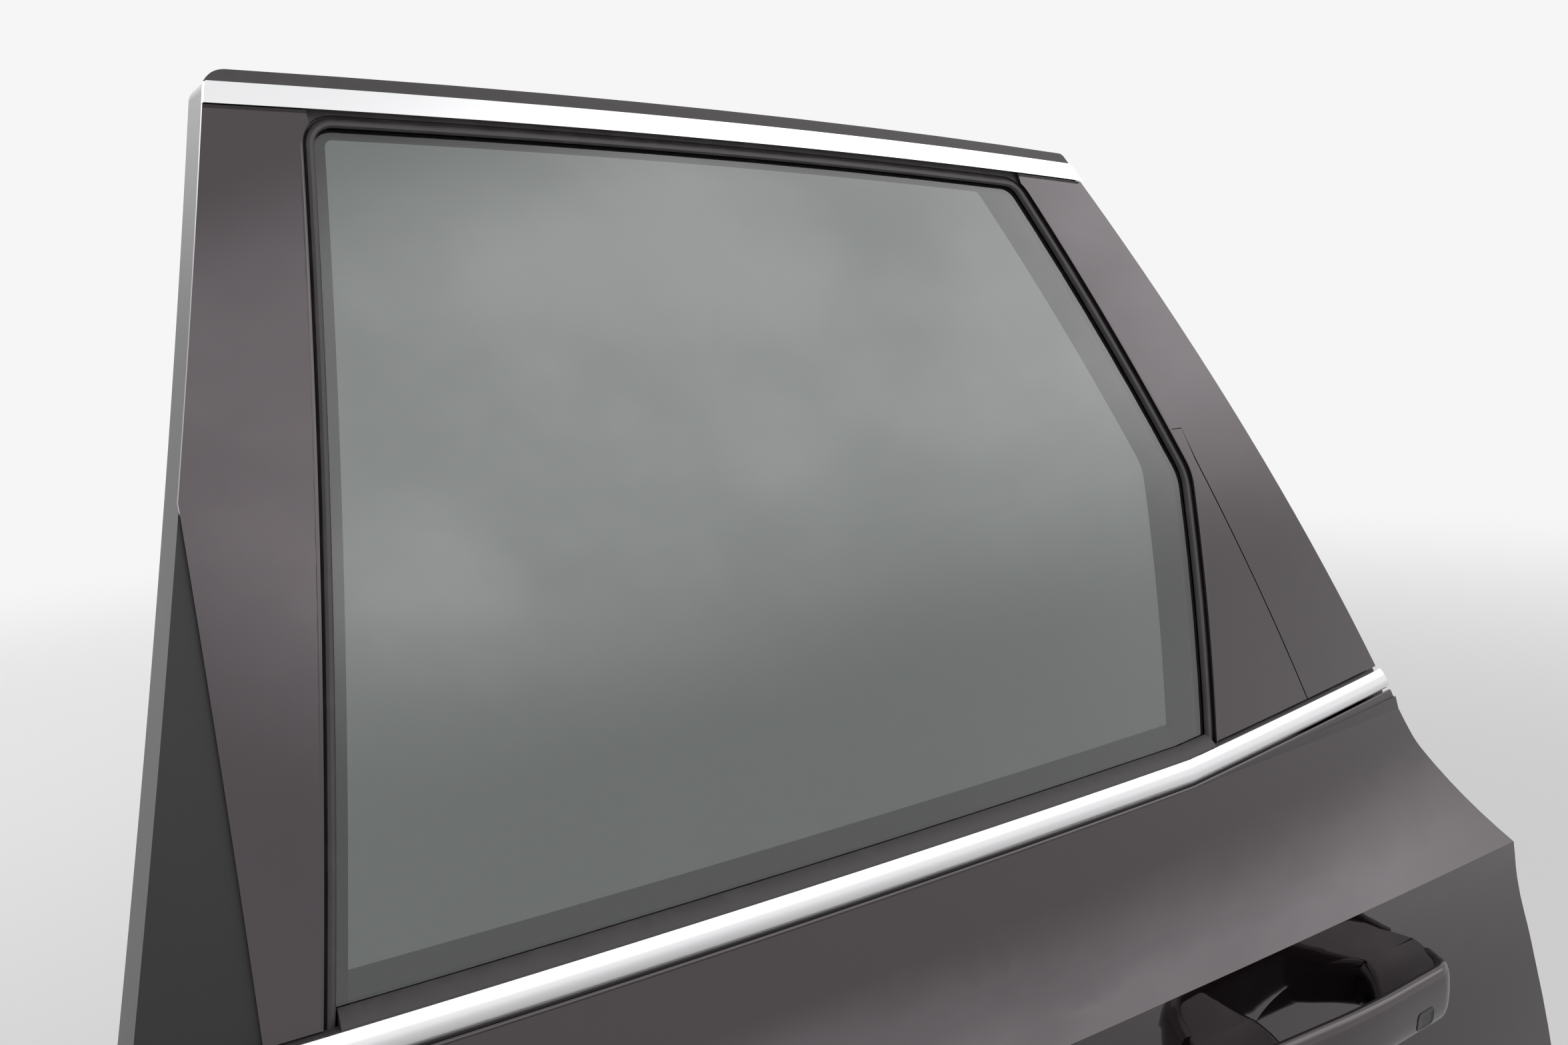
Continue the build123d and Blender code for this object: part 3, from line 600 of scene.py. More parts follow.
def strength_prop(name, description, default):
    """The strength of a light that a user may change."""
    return bpy.props.FloatProperty(name=name, description=description, min=0.0, default=default)


class DoorColours(bpy.types.PropertyGroup):
    """Colours of the door's finishes."""

    paint: colour_prop("Paint", "Body colour under the clear coat", (0.007, 0.005, 0.006))
    flake: colour_prop("Flake", "Glint of the flake in the paint", (0.06, 0.05, 0.055))
    dust: colour_prop("Dust", "Road dust low on the door", (0.16, 0.13, 0.10))
    clear_tint: colour_prop("Gloss tint", "Tint of the shine on paint and gloss black", (1.0, 0.90, 0.95))
    gloss: colour_prop("Gloss black", "Covers and handle", (0.008, 0.006, 0.007))
    gloss_haze: colour_prop("Gloss haze", "Polishing haze in the gloss black", (0.018, 0.015, 0.017))
    satin: colour_prop("Satin black", "Window frame", (0.012, 0.011, 0.012))
    glass: colour_prop("Glass", "Light that the side glass lets through", (0.120, 0.136, 0.129))
    glass_haze: colour_prop("Glass haze", "The glass where it was wiped", (0.150, 0.166, 0.159))
    felt: colour_prop("Felt", "Flocked lining behind the glass edge", (0.55, 0.54, 0.52))
    rubber: colour_prop("Rubber", "Seals and lips", (0.045, 0.040, 0.042))
    rubber_bloom: colour_prop("Rubber bloom", "Dusty bloom on the rubber", (0.085, 0.076, 0.078))
    bright: colour_prop("Bright strip", "Anodised strips", (0.90, 0.90, 0.91))
    bright_shade: colour_prop("Bright strip shade", "Slow variation in the strips", (0.80, 0.80, 0.82))
    lining: colour_prop("Lining", "Trim pad inside", (0.048, 0.046, 0.047))
    lining_worn: colour_prop("Worn lining", "The trim pad where it is rubbed", (0.078, 0.075, 0.076))
    pad: colour_prop("Arm pad", "Soft cover of the armrest and insert", (0.115, 0.108, 0.102))
    pad_worn: colour_prop("Worn arm pad", "The soft cover in its creases", (0.165, 0.155, 0.146))
    thread: colour_prop("Thread", "Thread of the seams", (0.42, 0.40, 0.38))
    cladding: colour_prop("Cladding", "Moulding along the bottom", (0.030, 0.029, 0.029))
    cladding_worn: colour_prop("Worn cladding", "The moulding where it has faded", (0.070, 0.067, 0.065))
    steel: colour_prop("Plated steel", "Latch, pins and check strap", (0.58, 0.57, 0.54))
    steel_shade: colour_prop("Plated steel shade", "Darker grains of the plating", (0.42, 0.42, 0.41))


class DoorSizes(bpy.types.PropertyGroup):
    """Sizes of the fine pieces."""

    strip_crown: length_prop("Strip crown", "How far the belt strip stands out", 7.8)
    lip_height: length_prop("Lip height", "How far the outer belt lip reaches up the glass", 7.0)
    bar_height: length_prop("Bar height", "Height of the outside handle's bar", 43.0)
    bar_thickness: length_prop("Bar thickness", "Thickness of the outside handle's bar", 14.0)
    stitch_pitch: length_prop("Stitch pitch", "Distance between the stitches of a seam", 5.5)
    hole_pitch: length_prop("Grille pitch", "Distance between the holes of the speaker's grille", 3.6)
    hole_radius: length_prop("Grille hole", "Radius of the holes in the speaker's grille", 1.15)
    bolt_head: length_prop("Bolt head", "Width across the flats of the hinge bolts", 13.0)


class DoorStage(bpy.types.PropertyGroup):
    """Floor, background and lamps."""

    floor: colour_prop("Floor", "Pale floor", (0.78, 0.78, 0.78))
    background: strength_prop("Background", "How bright the camera sees the background", 0.92)
    fill: strength_prop("Fill", "Strength of the even light from all round", 0.5)
    outside: strength_prop("Outside lamp", "Power of the large soft lamp outside", 112.0)
    inside: strength_prop("Inside lamp", "Power of the soft lamp on the inner side", 150.0)


def skin_y(x, z):
    """How far in the lower body side stands at x and z, between its crease and its waist."""
    hollow = HOLLOW_DEPTH * max(0.0, 1 - ((z - HOLLOW_LEVEL) / HOLLOW_HALF) ** 2)
    return SKIN_FACE + (x - SKIN_MIDDLE) ** 2 / SKIN_BOW + hollow


def size(name):
    """One of the fine pieces' sizes, in millimetres."""
    return getattr(bpy.context.scene.door_sizes, name) / MM


class Undoable:
    """Lets each operator below be undone and run again."""

    bl_options = {"REGISTER", "UNDO"}


class DOOR_OT_paint(Undoable, bpy.types.Operator):
    """Paint the outer skin, the inner panel and the hinge leaves, and roll the skin's upper edge"""

    bl_idname = "door.paint"
    bl_label = "Paint the panels"

    def execute(self, context):
        wear("body_paint", "outer_skin", "inner_panel")
        for side in ("door", "pillar"):
            wear("body_paint", f"upper_hinge_{side}_leaf", f"lower_hinge_{side}_leaf")
        profile = (
            (-1.15, -4.95), (-0.9, -5.7), (-0.3, -6.05), (0.3, -6.05), (0.85, -5.8), (1.15, -5.2),
            (1.0, -4.4), (0.3, -3.85), (-0.6, -3.9),
        )
        fold = ribbon(
            belt_run(-1.0, 957.0, -20.4, 0.0423), profile, STRIP_SLOPES,
            widen=lambda x: 0.0237 * max(0.0, x - STRIP_BEND),
        )
        piece("skin_edge", skinned(fold), "body_paint")
        return {"FINISHED"}


def dish_point(share, depth, angle):
    """A point of the bowl's dish, at a share of its reach, or of its back where depth is None."""
    x = BOWL_CENTRE.x + BOWL_REACH[0] * share * math.cos(angle)
    z = BOWL_CENTRE.y + BOWL_REACH[1] * share * math.sin(angle)
    rim = skin_y(x, z) + 0.25
    floor = BOWL_FLOOR + bow(x)
    back = floor + 1.8
    if depth is not None:
        y = rim + (floor - rim) * depth
    elif share < 0.9:
        y = back
    else:
        y = max(rim + 2.0, back - 60.0 * (share - 0.9))
    return flat_point(x, y, z)


class DOOR_OT_bowl(Undoable, bpy.types.Operator):
    """Make the dished bowl behind the handle, painted as the skin is"""

    bl_idname = "door.bowl"
    bl_label = "Make the bowl"

    def execute(self, context):
        dish = (
            (1.0, 0.03), (0.992, 0.06), (0.975, 0.17), (0.95, 0.33), (0.915, 0.52), (0.87, 0.69),
            (0.80, 0.83), (0.70, 0.93), (0.52, 0.985), (0.28, 1.0), (0.1, 1.0),
        )
        levels = dish + tuple((share, None) for share, _ in reversed(dish))
        outlines = [[dish_point(*level, angle) for angle in circle(72)] for level in levels]
        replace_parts(piece("handle_dish", skinned(outlines), "body_paint"), "handle_bowl")
        return {"FINISHED"}


class DOOR_OT_covers(Undoable, bpy.types.Operator):
    """Finish the gloss covers and the satin window frame, with rounded cover edges beside the window"""

    bl_idname = "door.covers"
    bl_label = "Finish the covers and frame"

    def execute(self, context):
        wear("gloss_plastic", "front_pillar_cover", "rear_pillar_cover", "rear_filler_cover")
        wear("gloss_plastic", "window_switch")
        wear("satin_coat", "frame_front_post", "frame_rear_post", "frame_division_bar")
        wear("satin_coat", "frame_top_rail", "belt_rail")
        bead = ((6.9, 1.8), (6.95, 0.7), (7.2, 0.2), (7.7, -0.05), (8.3, -0.1), (9.4, 0.06), (9.4, 1.8))
        run = window_run(0.5)
        front = [pair for pair in run if pair[0].x < 200.0 and pair[0].y < 436.0]
        rear = [pair for pair in run if pair[0].x > 600.0 and pair[0].y < 404.0]
        for name, part in (("front_cover_edge", front), ("rear_cover_edge", rear)):
            piece(name, skinned(ribbon(part, bead)), "gloss_plastic")
        return {"FINISHED"}


def bar_path():
    """The middle of the handle's bar seen from above: its two feet and the bowed grip between them."""
    corners = [
        (646.0, -61.5, 0.0), (656.0, -87.0, 20.0), (775.0, -92.9, 700.0),
        (873.0, -87.8, 20.0), (888.0, -63.0, 0.0),
    ]
    return finer(rounded(corners, steps=12), 8.0)


def bulge(share):
    """The half thickness of the bar's rounded section at a share of its half height."""
    return max(0.0, 1 - abs(share) ** BAR_ROUNDNESS) ** (1 / BAR_ROUNDNESS)


def fuller(turn):
    """A sine or cosine drawn out, so that the section that it makes is nearly a rounded box."""
    return math.copysign(abs(turn) ** (2 / BAR_ROUNDNESS), turn)


def handle_bar(up, out):
    """The bar: a rounded section swept along its path, drawn in a little towards both feet."""
    outlines = []
    path = with_normals(bar_path())
    for index, (point, side) in enumerate(path):
        share = index / (len(path) - 1)
        narrow = 0.86 + 0.14 * math.sin(math.pi / 2 * min(1.0, 7.0 * share, 7.0 * (1.0 - share)))
        outline = []
        for angle in circle(40):
            place = point - side * (out * fuller(math.cos(angle)))
            height = BAR_LEVEL + up * narrow * fuller(math.sin(angle))
            outline.append(flat_point(place.x, place.y, height))
        outlines.append(outline)
    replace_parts(piece("grip_bar", skinned(outlines), "gloss_plastic", 60.0), "handle_bar")


def handle_base(name, node, stations):
    """A smooth foot between the skin and the bar, from (depth, front, rear) stations."""
    outlines = []
    for depth, front, rear in stations:
        half = 18.8 - 0.8 * min(1.0, (-depth - 49.0) / 16.0)
        wide = min(13.0, (rear - front) / 2)
        radii = (wide, 3.0) if node == "handle_rear_base" else (3.0, wide)
        low, high = BAR_LEVEL - half, BAR_LEVEL + half
        corners = [
            (front, low, radii[0]), (rear, low, radii[1]),
            (rear, high, radii[1]), (front, high, radii[0]),
        ]
        outlines.append([flat_point(at.x, depth, at.y) for at in rounded(corners, steps=9)])
    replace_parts(piece(name, skinned(outlines), "gloss_plastic", 60.0), node)


def touch_pad(up, out):
    """The small pad that the fingers touch, laid on the bar's outer side."""
    path = bar_path()

    def surface(x, z, lift):
        start, end = next(pair for pair in zip(path, path[1:]) if pair[0].x <= x <= pair[1].x)
        middle = start.y + (end.y - start.y) * (x - start.x) / (end.x - start.x)
        return flat_point(x, middle - out * bulge((z - BAR_LEVEL) / up) - lift, z)

    outlines = []
    levels = (
        (11.0, 7.6, -0.6), (11.0, 7.6, 0.35), (10.6, 7.2, 0.6), (9.6, 6.2, 0.7),
        (9.2, 5.8, 0.45), (5.0, 3.0, 0.4), (1.0, 0.6, 0.4),
    )
    for half_x, half_z, lift in levels:
        radius = 0.62 * half_z
        corners = [
            (838.0 + side * half_x, -203.0 + level * half_z, radius)
            for side, level in ((-1, -1), (1, -1), (1, 1), (-1, 1))
        ]
        outlines.append([surface(at.x, at.y, lift) for at in rounded(corners, steps=7)])
    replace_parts(piece("touch_pad", skinned(outlines), "satin_coat", 40.0), "handle_sensor")


class DOOR_OT_handle(Undoable, bpy.types.Operator):
    """Make the outside handle: its swept bar, two smooth bases and the touch pad at its rear end"""

    bl_idname = "door.handle"
    bl_label = "Make the handle"

    def execute(self, context):
        up = size("bar_height") / 2
        out = size("bar_thickness") / 2
        handle_bar(up, out)
        handle_base("rear_grip_base", "handle_rear_base", (
            (-49.0, 824.0, 895.0), (-56.0, 820.0, 893.0), (-63.0, 814.0, 889.0), (-70.0, 807.0, 885.5),
            (-76.0, 800.0, 882.0), (-82.0, 793.0, 877.0), (-87.0, 787.0, 868.0), (-90.0, 785.0, 862.0),
        ))
        handle_base("front_grip_base", "handle_front_base", (
            (-49.0, 639.0, 709.0), (-56.0, 641.0, 708.0), (-63.0, 645.0, 706.5), (-70.0, 649.0, 704.5),
            (-76.0, 652.5, 702.0), (-82.0, 656.0, 699.0), (-87.0, 663.0, 695.0), (-90.0, 668.0, 692.0),
        ))
        touch_pad(up, out)
        return {"FINISHED"}


class DOOR_OT_glass(Undoable, bpy.types.Operator):
    """Finish the drop glass and lay the pale felt behind its edges"""

    bl_idname = "door.glass"
    bl_label = "Finish the glass"

    def execute(self, context):
        wear("window_glass", "drop_glass")
        profile = ((-7.0, 10.9), (-6.2, 10.55), (0.3, 10.55), (0.3, 11.4), (-7.0, 11.4))
        piece("channel_felt", skinned(ribbon(window_run(4.5), profile)), "channel_felt")
        return {"FINISHED"}


class DOOR_OT_strips(Undoable, bpy.types.Operator):
    """Make the crowned belt strip and finish the top strip and the release lever"""

    bl_idname = "door.strips"
    bl_label = "Make the bright strips"

    def execute(self, context):
        wear("anodised_strip", "top_trim", "release_lever")
        proud = size("strip_crown")
        foot = 5.2
        profile = [(-0.9, -4.2), (-0.25, -4.5)]
        for step in range(17):
            across = 2 * step / 16 - 1
            crown = foot + (proud - foot) * (1 - abs(across) ** 2.4)
            profile.append((-0.3 - (STRIP_HEIGHT - 0.6) * step / 16, -crown))
        profile += [(0.25 - STRIP_HEIGHT, -4.5), (0.9 - STRIP_HEIGHT, -4.2)]
        strip = ribbon(belt_run(-2.0, 954.5), profile, STRIP_SLOPES)
        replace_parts(piece("belt_strip", skinned(strip), "anodised_strip"), "belt_trim")
        return {"FINISHED"}


def glass_channel():
    """The channel that the glass runs in: a rolled outer lip, a slot and an inner lip."""
    profile = (
        (0.0, 5.4), (0.2, 3.6), (1.2, 2.2), (3.0, 1.7), (4.6, 2.4), (5.2, 4.2), (5.6, 5.2), (6.6, 5.2),
        (7.0, 3.3), (21.0, 3.3), (21.0, 14.2), (1.5, 14.2), (0.0, 13.2), (0.0, 10.6), (13.4, 10.4),
        (13.4, 5.6), (0.3, 5.6),
    )
    channel = ribbon(window_run(-60.0), profile)
    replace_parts(piece("glass_channel", skinned(channel), "seal_rubber"), "run_channel")


def outer_lip(height):
    """The lip that wipes the glass, on its carrier under the bright strip."""
    carrier = ((-9.5, -3.7), (-1.0, -3.9), (-0.6, -3.4), (-0.6, 2.8), (-9.5, 2.8))
    lip = (
        (-9.5, -3.5), (-1.0, -3.8), (1.0, -2.9), (0.62 * height, 0.8), (0.92 * height, 3.5),
        (height, 5.0), (0.82 * height, 5.5), (1.0, 3.4), (-2.0, 3.0), (-9.5, 2.7),
    )
    both = skinned(
        ribbon(belt_run(2.0, 944.0), carrier, STRIP_SLOPES),
        ribbon(belt_run(95.6, 731.5), lip, (WINDOW_FRONT_SLOPE, WINDOW_REAR_SLOPE)),
    )
    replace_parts(piece("belt_lip", both, "seal_rubber"), "belt_outer_seal")


def inner_lip():
    """The lip on the inner side of the glass, with a rounded rear end."""
    profile = (
        (-7.0, 10.4), (1.8, 10.4), (3.2, 10.9), (4.0, 12.0),
        (4.0, 14.4), (3.2, 15.5), (1.8, 15.9), (-7.0, 15.9),
    )
    lip = ribbon(
        belt_run(98.0, 728.0), profile, swell=lambda share: min(1.0, 55.0 * (1.0 - share)) ** 0.5
    )
    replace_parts(piece("inner_belt_lip", skinned(lip), "seal_rubber"), "belt_inner_seal")


class DOOR_OT_rubber(Undoable, bpy.types.Operator):
    """Make the run channel and the belt lips, and finish the seals"""

    bl_idname = "door.rubber"
    bl_label = "Make the rubber"

    def execute(self, context):
        wear("seal_rubber", "upper_seal", "door_seal")
        glass_channel()
        outer_lip(size("lip_height"))
        inner_lip()
        return {"FINISHED"}


def sew(name, points, across, out):
    """Makes a row of short raised stitches along a run of points in millimetres."""
    pitch = size("stitch_pitch")
    lofts = []
    travelled = pitch / 2
    for start, end in zip(points, points[1:]):
        length = (end - start).length
        ahead = (end - start) / length
        while travelled < length:
            middle = start + ahead * travelled
            outlines = []
            for share, girth in ((-0.5, 0.35), (-0.32, 0.9), (0.0, 1.0), (0.32, 0.9), (0.5, 0.35)):
                centre = middle + ahead * (share * 0.74 * pitch)
                outline = []
                for angle in circle(6):
                    reach = across * math.cos(angle) * 0.55 + out * math.sin(angle) * 0.4
                    outline.append((centre + reach * girth) * MM)
                outlines.append(outline)
            lofts.append(outlines)
            travelled += pitch
        travelled -= length
    piece(name, skinned(*lofts), "seam_thread", 60.0)


def arm_pad():
    """A crowned bar of foam under its cover, rounded at both ends."""
    corners = [
        (LINED_FACE, -234.0, 3.0), (117.0, -232.6, 11.0), (127.0, -250.0, 9.0),
        (126.4, -274.0, 8.0), (113.0, -294.0, 8.0), (LINED_FACE, -294.0, 2.0),
    ]
    outline = rounded(corners, steps=7)
    outline = finer(outline + [outline[0]], 6.0)[:-1]
    depth = 127.0 - LINED_FACE
    middle = -264.0
    outlines = []
    for step in range(61):
        share = step / 60
        x = 255.4 + 499.2 * (0.5 - 0.5 * math.cos(math.pi * share))
        end = min(x - 255.0, 755.0 - x)
        girth = math.sqrt(max(0.0, 1 - max(0.0, 1 - end / 22.0) ** 2))
        crown = 1.0 + 1.2 * math.sin(math.pi * share)
        section = []
        for across, height in outline:
            out = across if across < 70 else LINED_FACE + (across - LINED_FACE) * (0.72 + 0.28 * girth)
            rise = middle + (height - middle) * (0.30 + 0.70 * girth)
            if height > -240.0:
                rise += crown * math.sin(math.pi * (across - LINED_FACE) / depth)
            section.append(upright_point(x, out, rise))
        outlines.append(section)
    return piece("arm_pad", skinned(outlines), "arm_cover", 50.0)


def cup_outlines(grow, low, high):
    """The pull cup's rounded plan at four levels, from its floor up."""
    outlines = []
    for height in (low, low + 3.0, high - 3.0, high):
        out = grow - 2.5 if height == low else grow
        corners = [
            (x + math.copysign(out, x - 420.0), y + math.copysign(out, y - 97.0), 9.0 + out)
            for x, y in ((361.0, 84.0), (479.0, 84.0), (479.0, 109.8), (361.0, 109.8))
        ]
        outlines.append([upright_point(at.x, at.y, height) for at in rounded(corners)])
    return outlines


def cup_room():
    """The room that the cup's liner needs in the pad."""
    return new_object("cup_room", skinned(cup_outlines(0.2, -272.0, -200.0)))


def cup_liner():
    """The moulded liner of the pull cup."""
    outer = cup_outlines(0.0, -271.8, -232.6)
    inner = cup_outlines(-1.6, -270.0, -232.2)
    piece("pull_cup_liner", skinned(outer + inner[::-1]), "lining_plastic", 50.0)


def arm_seam():
    """A sewn seam along the armrest's upper edge."""
    points = [upright_point(279.0 + 452.0 * step / 48, 123.4, -239.6) / MM for step in range(49)]
    sew("arm_stitches", points, Vector((0.0, 0.75, -0.66)), Vector((0.0, 0.66, 0.75)))


class DOOR_OT_armrest(Undoable, bpy.types.Operator):
    """Make the padded armrest with its pull cup, seam and stitches"""

    bl_idname = "door.armrest"
    bl_label = "Make the armrest"

    def execute(self, context):
        pad = arm_pad()
        cup_liner()
        room = cup_room()
        carve = pad.modifiers.new("pull_cup", "BOOLEAN")
        carve.operation = "DIFFERENCE"
        carve.solver = "EXACT"
        carve.object = room
        shown = pad.evaluated_get(context.evaluated_depsgraph_get())
        carved = bpy.data.meshes.new_from_object(shown)
        pad.modifiers.clear()
        if len(carved.polygons) < len(pad.data.polygons) // 2:
            raise RuntimeError("the pull cup could not be cut into the armrest")
        pad.data = carved
        bpy.data.objects.remove(room)
        pad.data.materials.clear()
        pad.data.materials.append(finish_of("arm_cover"))
        pad.data.set_sharp_from_angle(angle=math.radians(50.0))
        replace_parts(pad, "armrest")
        arm_seam()
        return {"FINISHED"}


def insert_outline(inset):
    """The insert's outline seen from the side, drawn in by inset."""
    corners = [
        (292.0 + inset, -222.0 + inset, 16.0 - inset), (292.0 + inset, -72.0 - inset, 16.0 - inset),
        (862.0 - inset, -72.0 - inset, 26.0 - inset), (888.0 - inset, -150.0, 120.0),
        (906.0 - inset, -222.0 + inset, 18.0 - inset),
    ]
    return finer_loop(rounded(corners, steps=7), 8, (14, 62, 8, 7, 66))


def soft_insert():
    """A thin padded panel over the armrest, fuller in its middle."""
    levels = (
        (0.0, 66.1), (0.0, 67.2), (0.8, 68.9), (2.6, 69.9), (5.0, 70.0), (6.2, 69.4),
        (7.4, 70.1), (10.0, 71.0), (14.0, 71.8),
    )
    outlines = [
        [upright_point(at.x, out, at.y) for at in insert_outline(inset)] for inset, out in levels
    ]
    border = outlines[-1]
    centre = sum(border, Vector()) / len(border)
    for share in (0.75, 0.5, 0.25, 0.08):
        out = levels[-1][1] + 1.6 * (1 - share**2)
        places = [centre.lerp(point, share) - EDGE for point in border]
        outlines.append([upright_point(place.x / MM, out, place.z / MM) for place in places])
    piece("soft_insert", skinned(outlines), "arm_cover", 60.0)


def insert_seam():
    """Stitches round the insert, in its sewn groove."""
    loop = insert_outline(6.2)
    points = [upright_point(at.x, 69.7, at.y) / MM for at in loop + loop[:1]]
    sew("insert_stitches", points, UP, INWARD)


class DOOR_OT_lining(Undoable, bpy.types.Operator):
    """Finish the trim pad and its pieces, and add the soft insert and the screw caps"""

    bl_idname = "door.lining"
    bl_label = "Finish the lining"

    def execute(self, context):
        wear("lining_plastic", "sail_trim", "trim_panel", "map_pocket", "release_bezel")
        wear("lining_plastic", "check_housing", "wiring_socket")
        soft_insert()
        insert_seam()
        dome = ((7.0, -0.3), (7.0, 0.9), (6.4, 1.5), (4.2, 1.9), (3.6, 1.4), (0.8, 1.2))
        caps = [
            turned(upright_point(x, LINED_FACE - 0.3, z), INWARD, dome)
            for x, z in ((150, -640), (470, -640), (690, -640), (90, -330), (880, -380))
        ]
        piece("screw_caps", skinned(*caps), "lining_plastic")
        return {"FINISHED"}


def perforated_sheet(shape, foot, out, reach, pitch, hole):
    """Six-sided cells with a round hole each, on a slightly domed sheet."""
    across = out.cross(UP).normalized()

    def place(x, z, drop=0.0):
        height = 2.0 + 1.4 * (1 - (x * x + z * z) / reach**2) - drop
        return foot + (across * x + UP * z + out * height) * MM

    row = pitch * math.sqrt(3) / 2
    count = int(reach / row) + 1
    start = len(shape.verts)
    for line in range(-count, count + 1):
        z = line * row
        shift = pitch / 2 if line % 2 else 0.0
        for column in range(-count - 1, count + 2):
            x = column * pitch + shift
            if math.hypot(x, z) > reach - pitch / 2:
                continue
            outer, inner, deep = [], [], []
            for angle in circle(12):
                cosine, sine = math.cos(angle), math.sin(angle)
                corner = pitch / 2 * hexagon(angle)
                outer.append(shape.verts.new(place(x + corner * cosine, z + corner * sine)))
                inner.append(shape.verts.new(place(x + hole * cosine, z + hole * sine)))
                deep.append(shape.verts.new(place(x + hole * cosine, z + hole * sine, 0.9)))
            band(shape, outer, inner)
            band(shape, inner, deep)
    shape.verts.ensure_lookup_table()
    bmesh.ops.remove_doubles(shape, verts=shape.verts[start:], dist=0.02 * MM)


class DOOR_OT_speaker(Undoable, bpy.types.Operator):
    """Make the speaker's perforated grille in its rim"""

    bl_idname = "door.speaker"
    bl_label = "Make the speaker grille"

    def execute(self, context):
        middle = 178.0
        foot = upright_point(middle, LINED_FACE, -545.0)
        out = Vector((BOW_MIDDLE - middle * MM, BOW_RADIUS, 0.0)).normalized()
        rim = (
            (71.8, 0.0), (71.8, 1.6), (71.0, 2.9), (69.2, 3.7), (67.0, 3.6), (65.4, 2.7), (64.6, 1.2),
            (64.2, 0.4), (30.0, 0.3), (0.5, 0.3),
        )
        shape = skinned(turned(foot, out, rim, 96))
        perforated_sheet(shape, foot, out, 64.9, size("hole_pitch"), size("hole_radius"))
        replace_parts(piece("speaker_sheet", shape, "lining_plastic"), "speaker_grille")
        return {"FINISHED"}


class DOOR_OT_cladding(Undoable, bpy.types.Operator):
    """Finish the moulding along the bottom"""

    bl_idname = "door.cladding"
    bl_label = "Finish the cladding"

    def execute(self, context):
        wear("moulding_plastic", "lower_cladding")
        return {"FINISHED"}


class DOOR_OT_hardware(Undoable, bpy.types.Operator):
    """Finish the latch, pins and check strap, and add the hinge bolts"""

    bl_idname = "door.hardware"
    bl_label = "Finish the hardware"

    def execute(self, context):
        wear("plated_steel", "door_latch", "upper_hinge_pin", "lower_hinge_pin")
        wear("plated_steel", "check_strap", "check_bracket")
        head = size("bolt_head") / math.sqrt(3)
        bolt = (
            (1.25 * head, -0.4), (1.25 * head, 0.9), (1.08 * head, 1.8), (head, 1.9), (head, 6.2),
            (0.9 * head, 7.0), (0.62 * head, 7.2), (0.55 * head, 6.2), (0.1 * head, 6.2),
        )
        bolts = []
        for place in ("upper", "lower"):
            low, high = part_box(f"{place}_hinge_door_leaf")
            middle = (low.z + high.z) / 2
            for lift in (-HINGE_BOLT_SPACING / 2, HINGE_BOLT_SPACING / 2):
                centre = Vector((high.x - 6.0 * MM, -17.0 * MM, middle + lift * MM))
                bolts.append(turned(centre, Vector((-1.0, 0.0, 0.0)), bolt, 36, (3, 4, 5)))
        piece("hinge_bolts", skinned(*bolts), "plated_steel")
        return {"FINISHED"}


def lamp(name, centre, target, width, height, power, fade):
    """A large soft lamp that faces a point, with faded edges and slow cloudy shades."""
    data = bpy.data.lights.new(name, "AREA")
    data.shape = "RECTANGLE"
    data.size = width
    data.size_y = height
    data.energy = power
    data.use_nodes = True
    nodes = Nodes(data.node_tree)
    place = nodes.node("ShaderNodeNewGeometry", output="Parametric")
    across = nodes.node("ShaderNodeSeparateXYZ", {}, {0: place}, 0)
    up = nodes.node("ShaderNodeSeparateXYZ", {}, {0: place}, 1)
    edges = nodes.ease(across, 0.0, fade) * nodes.ease(across, 1.0, 1.0 - fade)
    edges = edges * nodes.ease(up, 0.0, 1.6 * fade) * nodes.ease(up, 1.0, 1.0 - fade)
    multiply = {"operation": "MULTIPLY"}
    stretch = nodes.node("ShaderNodeVectorMath", multiply, {0: place, 1: (2.2, 1.1, 1.0)})
    cloud = nodes.node("ShaderNodeTexNoise", {}, {"Vector": stretch, "Scale": 2.0, "Detail": 4.0})
    bright = edges * nodes.ease(cloud, 0.32, 0.68, 0.5, 1.0)
    shade = nodes.mix(bright, (0.0, 0.0, 0.0), (1.0, 1.0, 1.0))
    nodes.join(shade, nodes.tree.nodes["Emission"].inputs["Color"])
    holder = bpy.data.objects.new(name, data)
    holder.location = centre
    holder.rotation_mode = "QUATERNION"
    holder.rotation_quaternion = (Vector(target) - Vector(centre)).to_track_quat("-Z", "Y")
    holder.visible_camera = False
    holder.visible_transmission = False
    bpy.context.scene.collection.objects.link(holder)


def lay_floor(settings):
    """A wide pale disc just under the door, blending into the background."""
    shape = bmesh.new()
    bmesh.ops.create_circle(shape, cap_ends=True, segments=64, radius=14.0)
    floor = new_object("floor", shape)
    middle = (CAD_BOX[0] + CAD_BOX[1]) / 2
    floor.location = (middle.x, middle.y, CAD_BOX[0].z - 1.0 * MM)
    finish = Finish("floor_paint")
    mottle = finish.noise(3.0, 4.0)
    finish.set(Base_Color=finish.mix(mottle * 0.1, settings.floor, (0.7, 0.7, 0.7)), Roughness=0.7)
    distance = finish.node("ShaderNodeVectorMath", {"operation": "LENGTH"}, {0: finish.place}, "Value")
    far = finish.ease(distance, 1.5, 5.5)
    white = finish.node(
        "ShaderNodeEmission", {}, {"Color": (1.0, 1.0, 1.0, 1.0), "Strength": settings.background}
    )
    lit = Value(finish, finish.shader.outputs[0])
    blended = finish.node("ShaderNodeMixShader", {}, {0: far, 1: lit, 2: white})
    finish.join(blended, finish.tree.nodes["Material Output"].inputs["Surface"])
    floor.data.materials.append(finish.material)


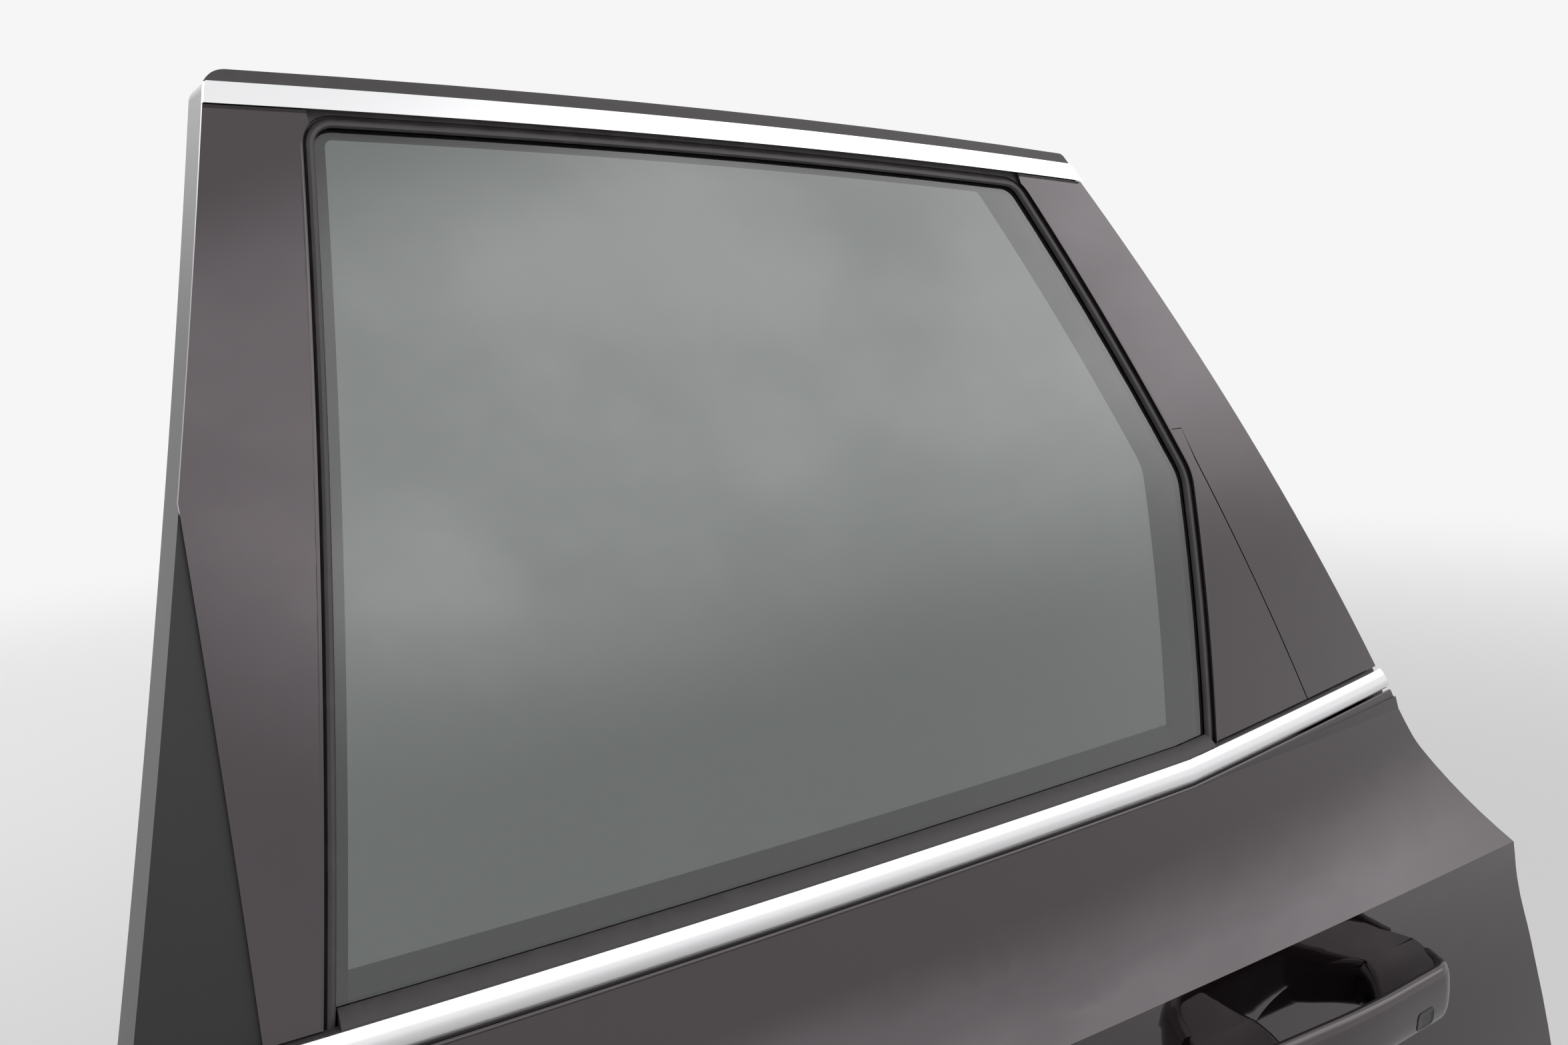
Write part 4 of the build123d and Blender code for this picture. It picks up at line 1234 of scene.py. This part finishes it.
def light_world(settings):
    """Even fill light, with a pale background for the camera, reflections and glass."""
    world = bpy.data.worlds.new("studio")
    world.use_nodes = True
    nodes = Nodes(world.node_tree)
    fill, seen = (
        nodes.node("ShaderNodeBackground", {}, {"Color": (1.0, 1.0, 1.0), "Strength": strength})
        for strength in (settings.fill, settings.background)
    )
    camera, glossy, through = (
        nodes.node("ShaderNodeLightPath", output=f"Is {kind} Ray")
        for kind in ("Camera", "Glossy", "Transmission")
    )
    shown = (camera + glossy + through) > 0.5
    mixed = nodes.node("ShaderNodeMixShader", {}, {0: shown, 1: fill, 2: seen})
    nodes.join(mixed, nodes.tree.nodes["World Output"].inputs["Surface"])
    bpy.context.scene.world = world
    bpy.context.scene.view_settings.view_transform = "Standard"


def place_camera():
    """The photograph's view, from its solved place, turn and focal length."""
    data = bpy.data.cameras.new("camera")
    data.sensor_width = SENSOR
    data.lens = SENSOR * CAMERA_FOCUS / PHOTO_WIDTH
    data.clip_start = 0.02
    camera = bpy.data.objects.new("camera", data)
    forward = Vector((
        math.sin(CAMERA_YAW) * math.cos(CAMERA_PITCH),
        math.cos(CAMERA_YAW) * math.cos(CAMERA_PITCH),
        math.sin(CAMERA_PITCH),
    ))
    level = Vector((math.cos(CAMERA_YAW), -math.sin(CAMERA_YAW), 0.0))
    upright = level.cross(forward)
    right = math.cos(CAMERA_ROLL) * level + math.sin(CAMERA_ROLL) * upright
    up = math.cos(CAMERA_ROLL) * upright - math.sin(CAMERA_ROLL) * level
    turn = Matrix((right, up, -forward)).transposed()
    camera.matrix_world = Matrix.Translation(CAMERA_AT) @ turn.to_4x4()
    bpy.context.scene.collection.objects.link(camera)
    bpy.context.scene.camera = camera


class DOOR_OT_stage(Undoable, bpy.types.Operator):
    """Make the floor, background, lamps and camera"""

    bl_idname = "door.stage"
    bl_label = "Make the stage"

    def execute(self, context):
        settings = context.scene.door_stage
        lay_floor(settings)
        light_world(settings)
        lamp("outside_lamp", (2.27, -2.27, 2.55), (0.5, 0.0, 0.75), 6.1, 3.8, settings.outside, 0.25)
        lamp("inside_lamp", (-0.6, 3.2, 2.4), (0.5, 0.0, 0.4), 4.6, 3.0, settings.inside, 0.3)
        place_camera()
        return {"FINISHED"}


class DOOR_PT_panel(bpy.types.Panel):
    """The door's colours, sizes and operators"""

    bl_label = "Rear door"
    bl_idname = "DOOR_PT_panel"
    bl_space_type = "VIEW_3D"
    bl_region_type = "UI"
    bl_category = "Door"

    def draw(self, context):
        for operator in OPERATORS:
            self.layout.operator(operator.bl_idname)
        for name, kind in GROUPS.items():
            for key in kind.__annotations__:
                self.layout.prop(getattr(context.scene, name), key)


OPERATORS = (
    DOOR_OT_stage,
    DOOR_OT_paint,
    DOOR_OT_bowl,
    DOOR_OT_covers,
    DOOR_OT_handle,
    DOOR_OT_glass,
    DOOR_OT_strips,
    DOOR_OT_rubber,
    DOOR_OT_armrest,
    DOOR_OT_lining,
    DOOR_OT_speaker,
    DOOR_OT_cladding,
    DOOR_OT_hardware,
)
GROUPS = {"door_colours": DoorColours, "door_sizes": DoorSizes, "door_stage": DoorStage}


def register():
    for name, group in GROUPS.items():
        bpy.utils.register_class(group)
        setattr(bpy.types.Scene, name, bpy.props.PointerProperty(type=group))
    for operator in OPERATORS:
        bpy.utils.register_class(operator)
    bpy.utils.register_class(DOOR_PT_panel)


def unregister():
    bpy.utils.unregister_class(DOOR_PT_panel)
    for operator in OPERATORS:
        bpy.utils.unregister_class(operator)
    for name, group in GROUPS.items():
        delattr(bpy.types.Scene, name)
        bpy.utils.unregister_class(group)


def main():
    """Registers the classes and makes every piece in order."""
    register()
    for operator in OPERATORS:
        verb = operator.bl_idname.split(".")[1]
        getattr(bpy.ops.door, verb)()


if __name__ == "__main__":
    main()
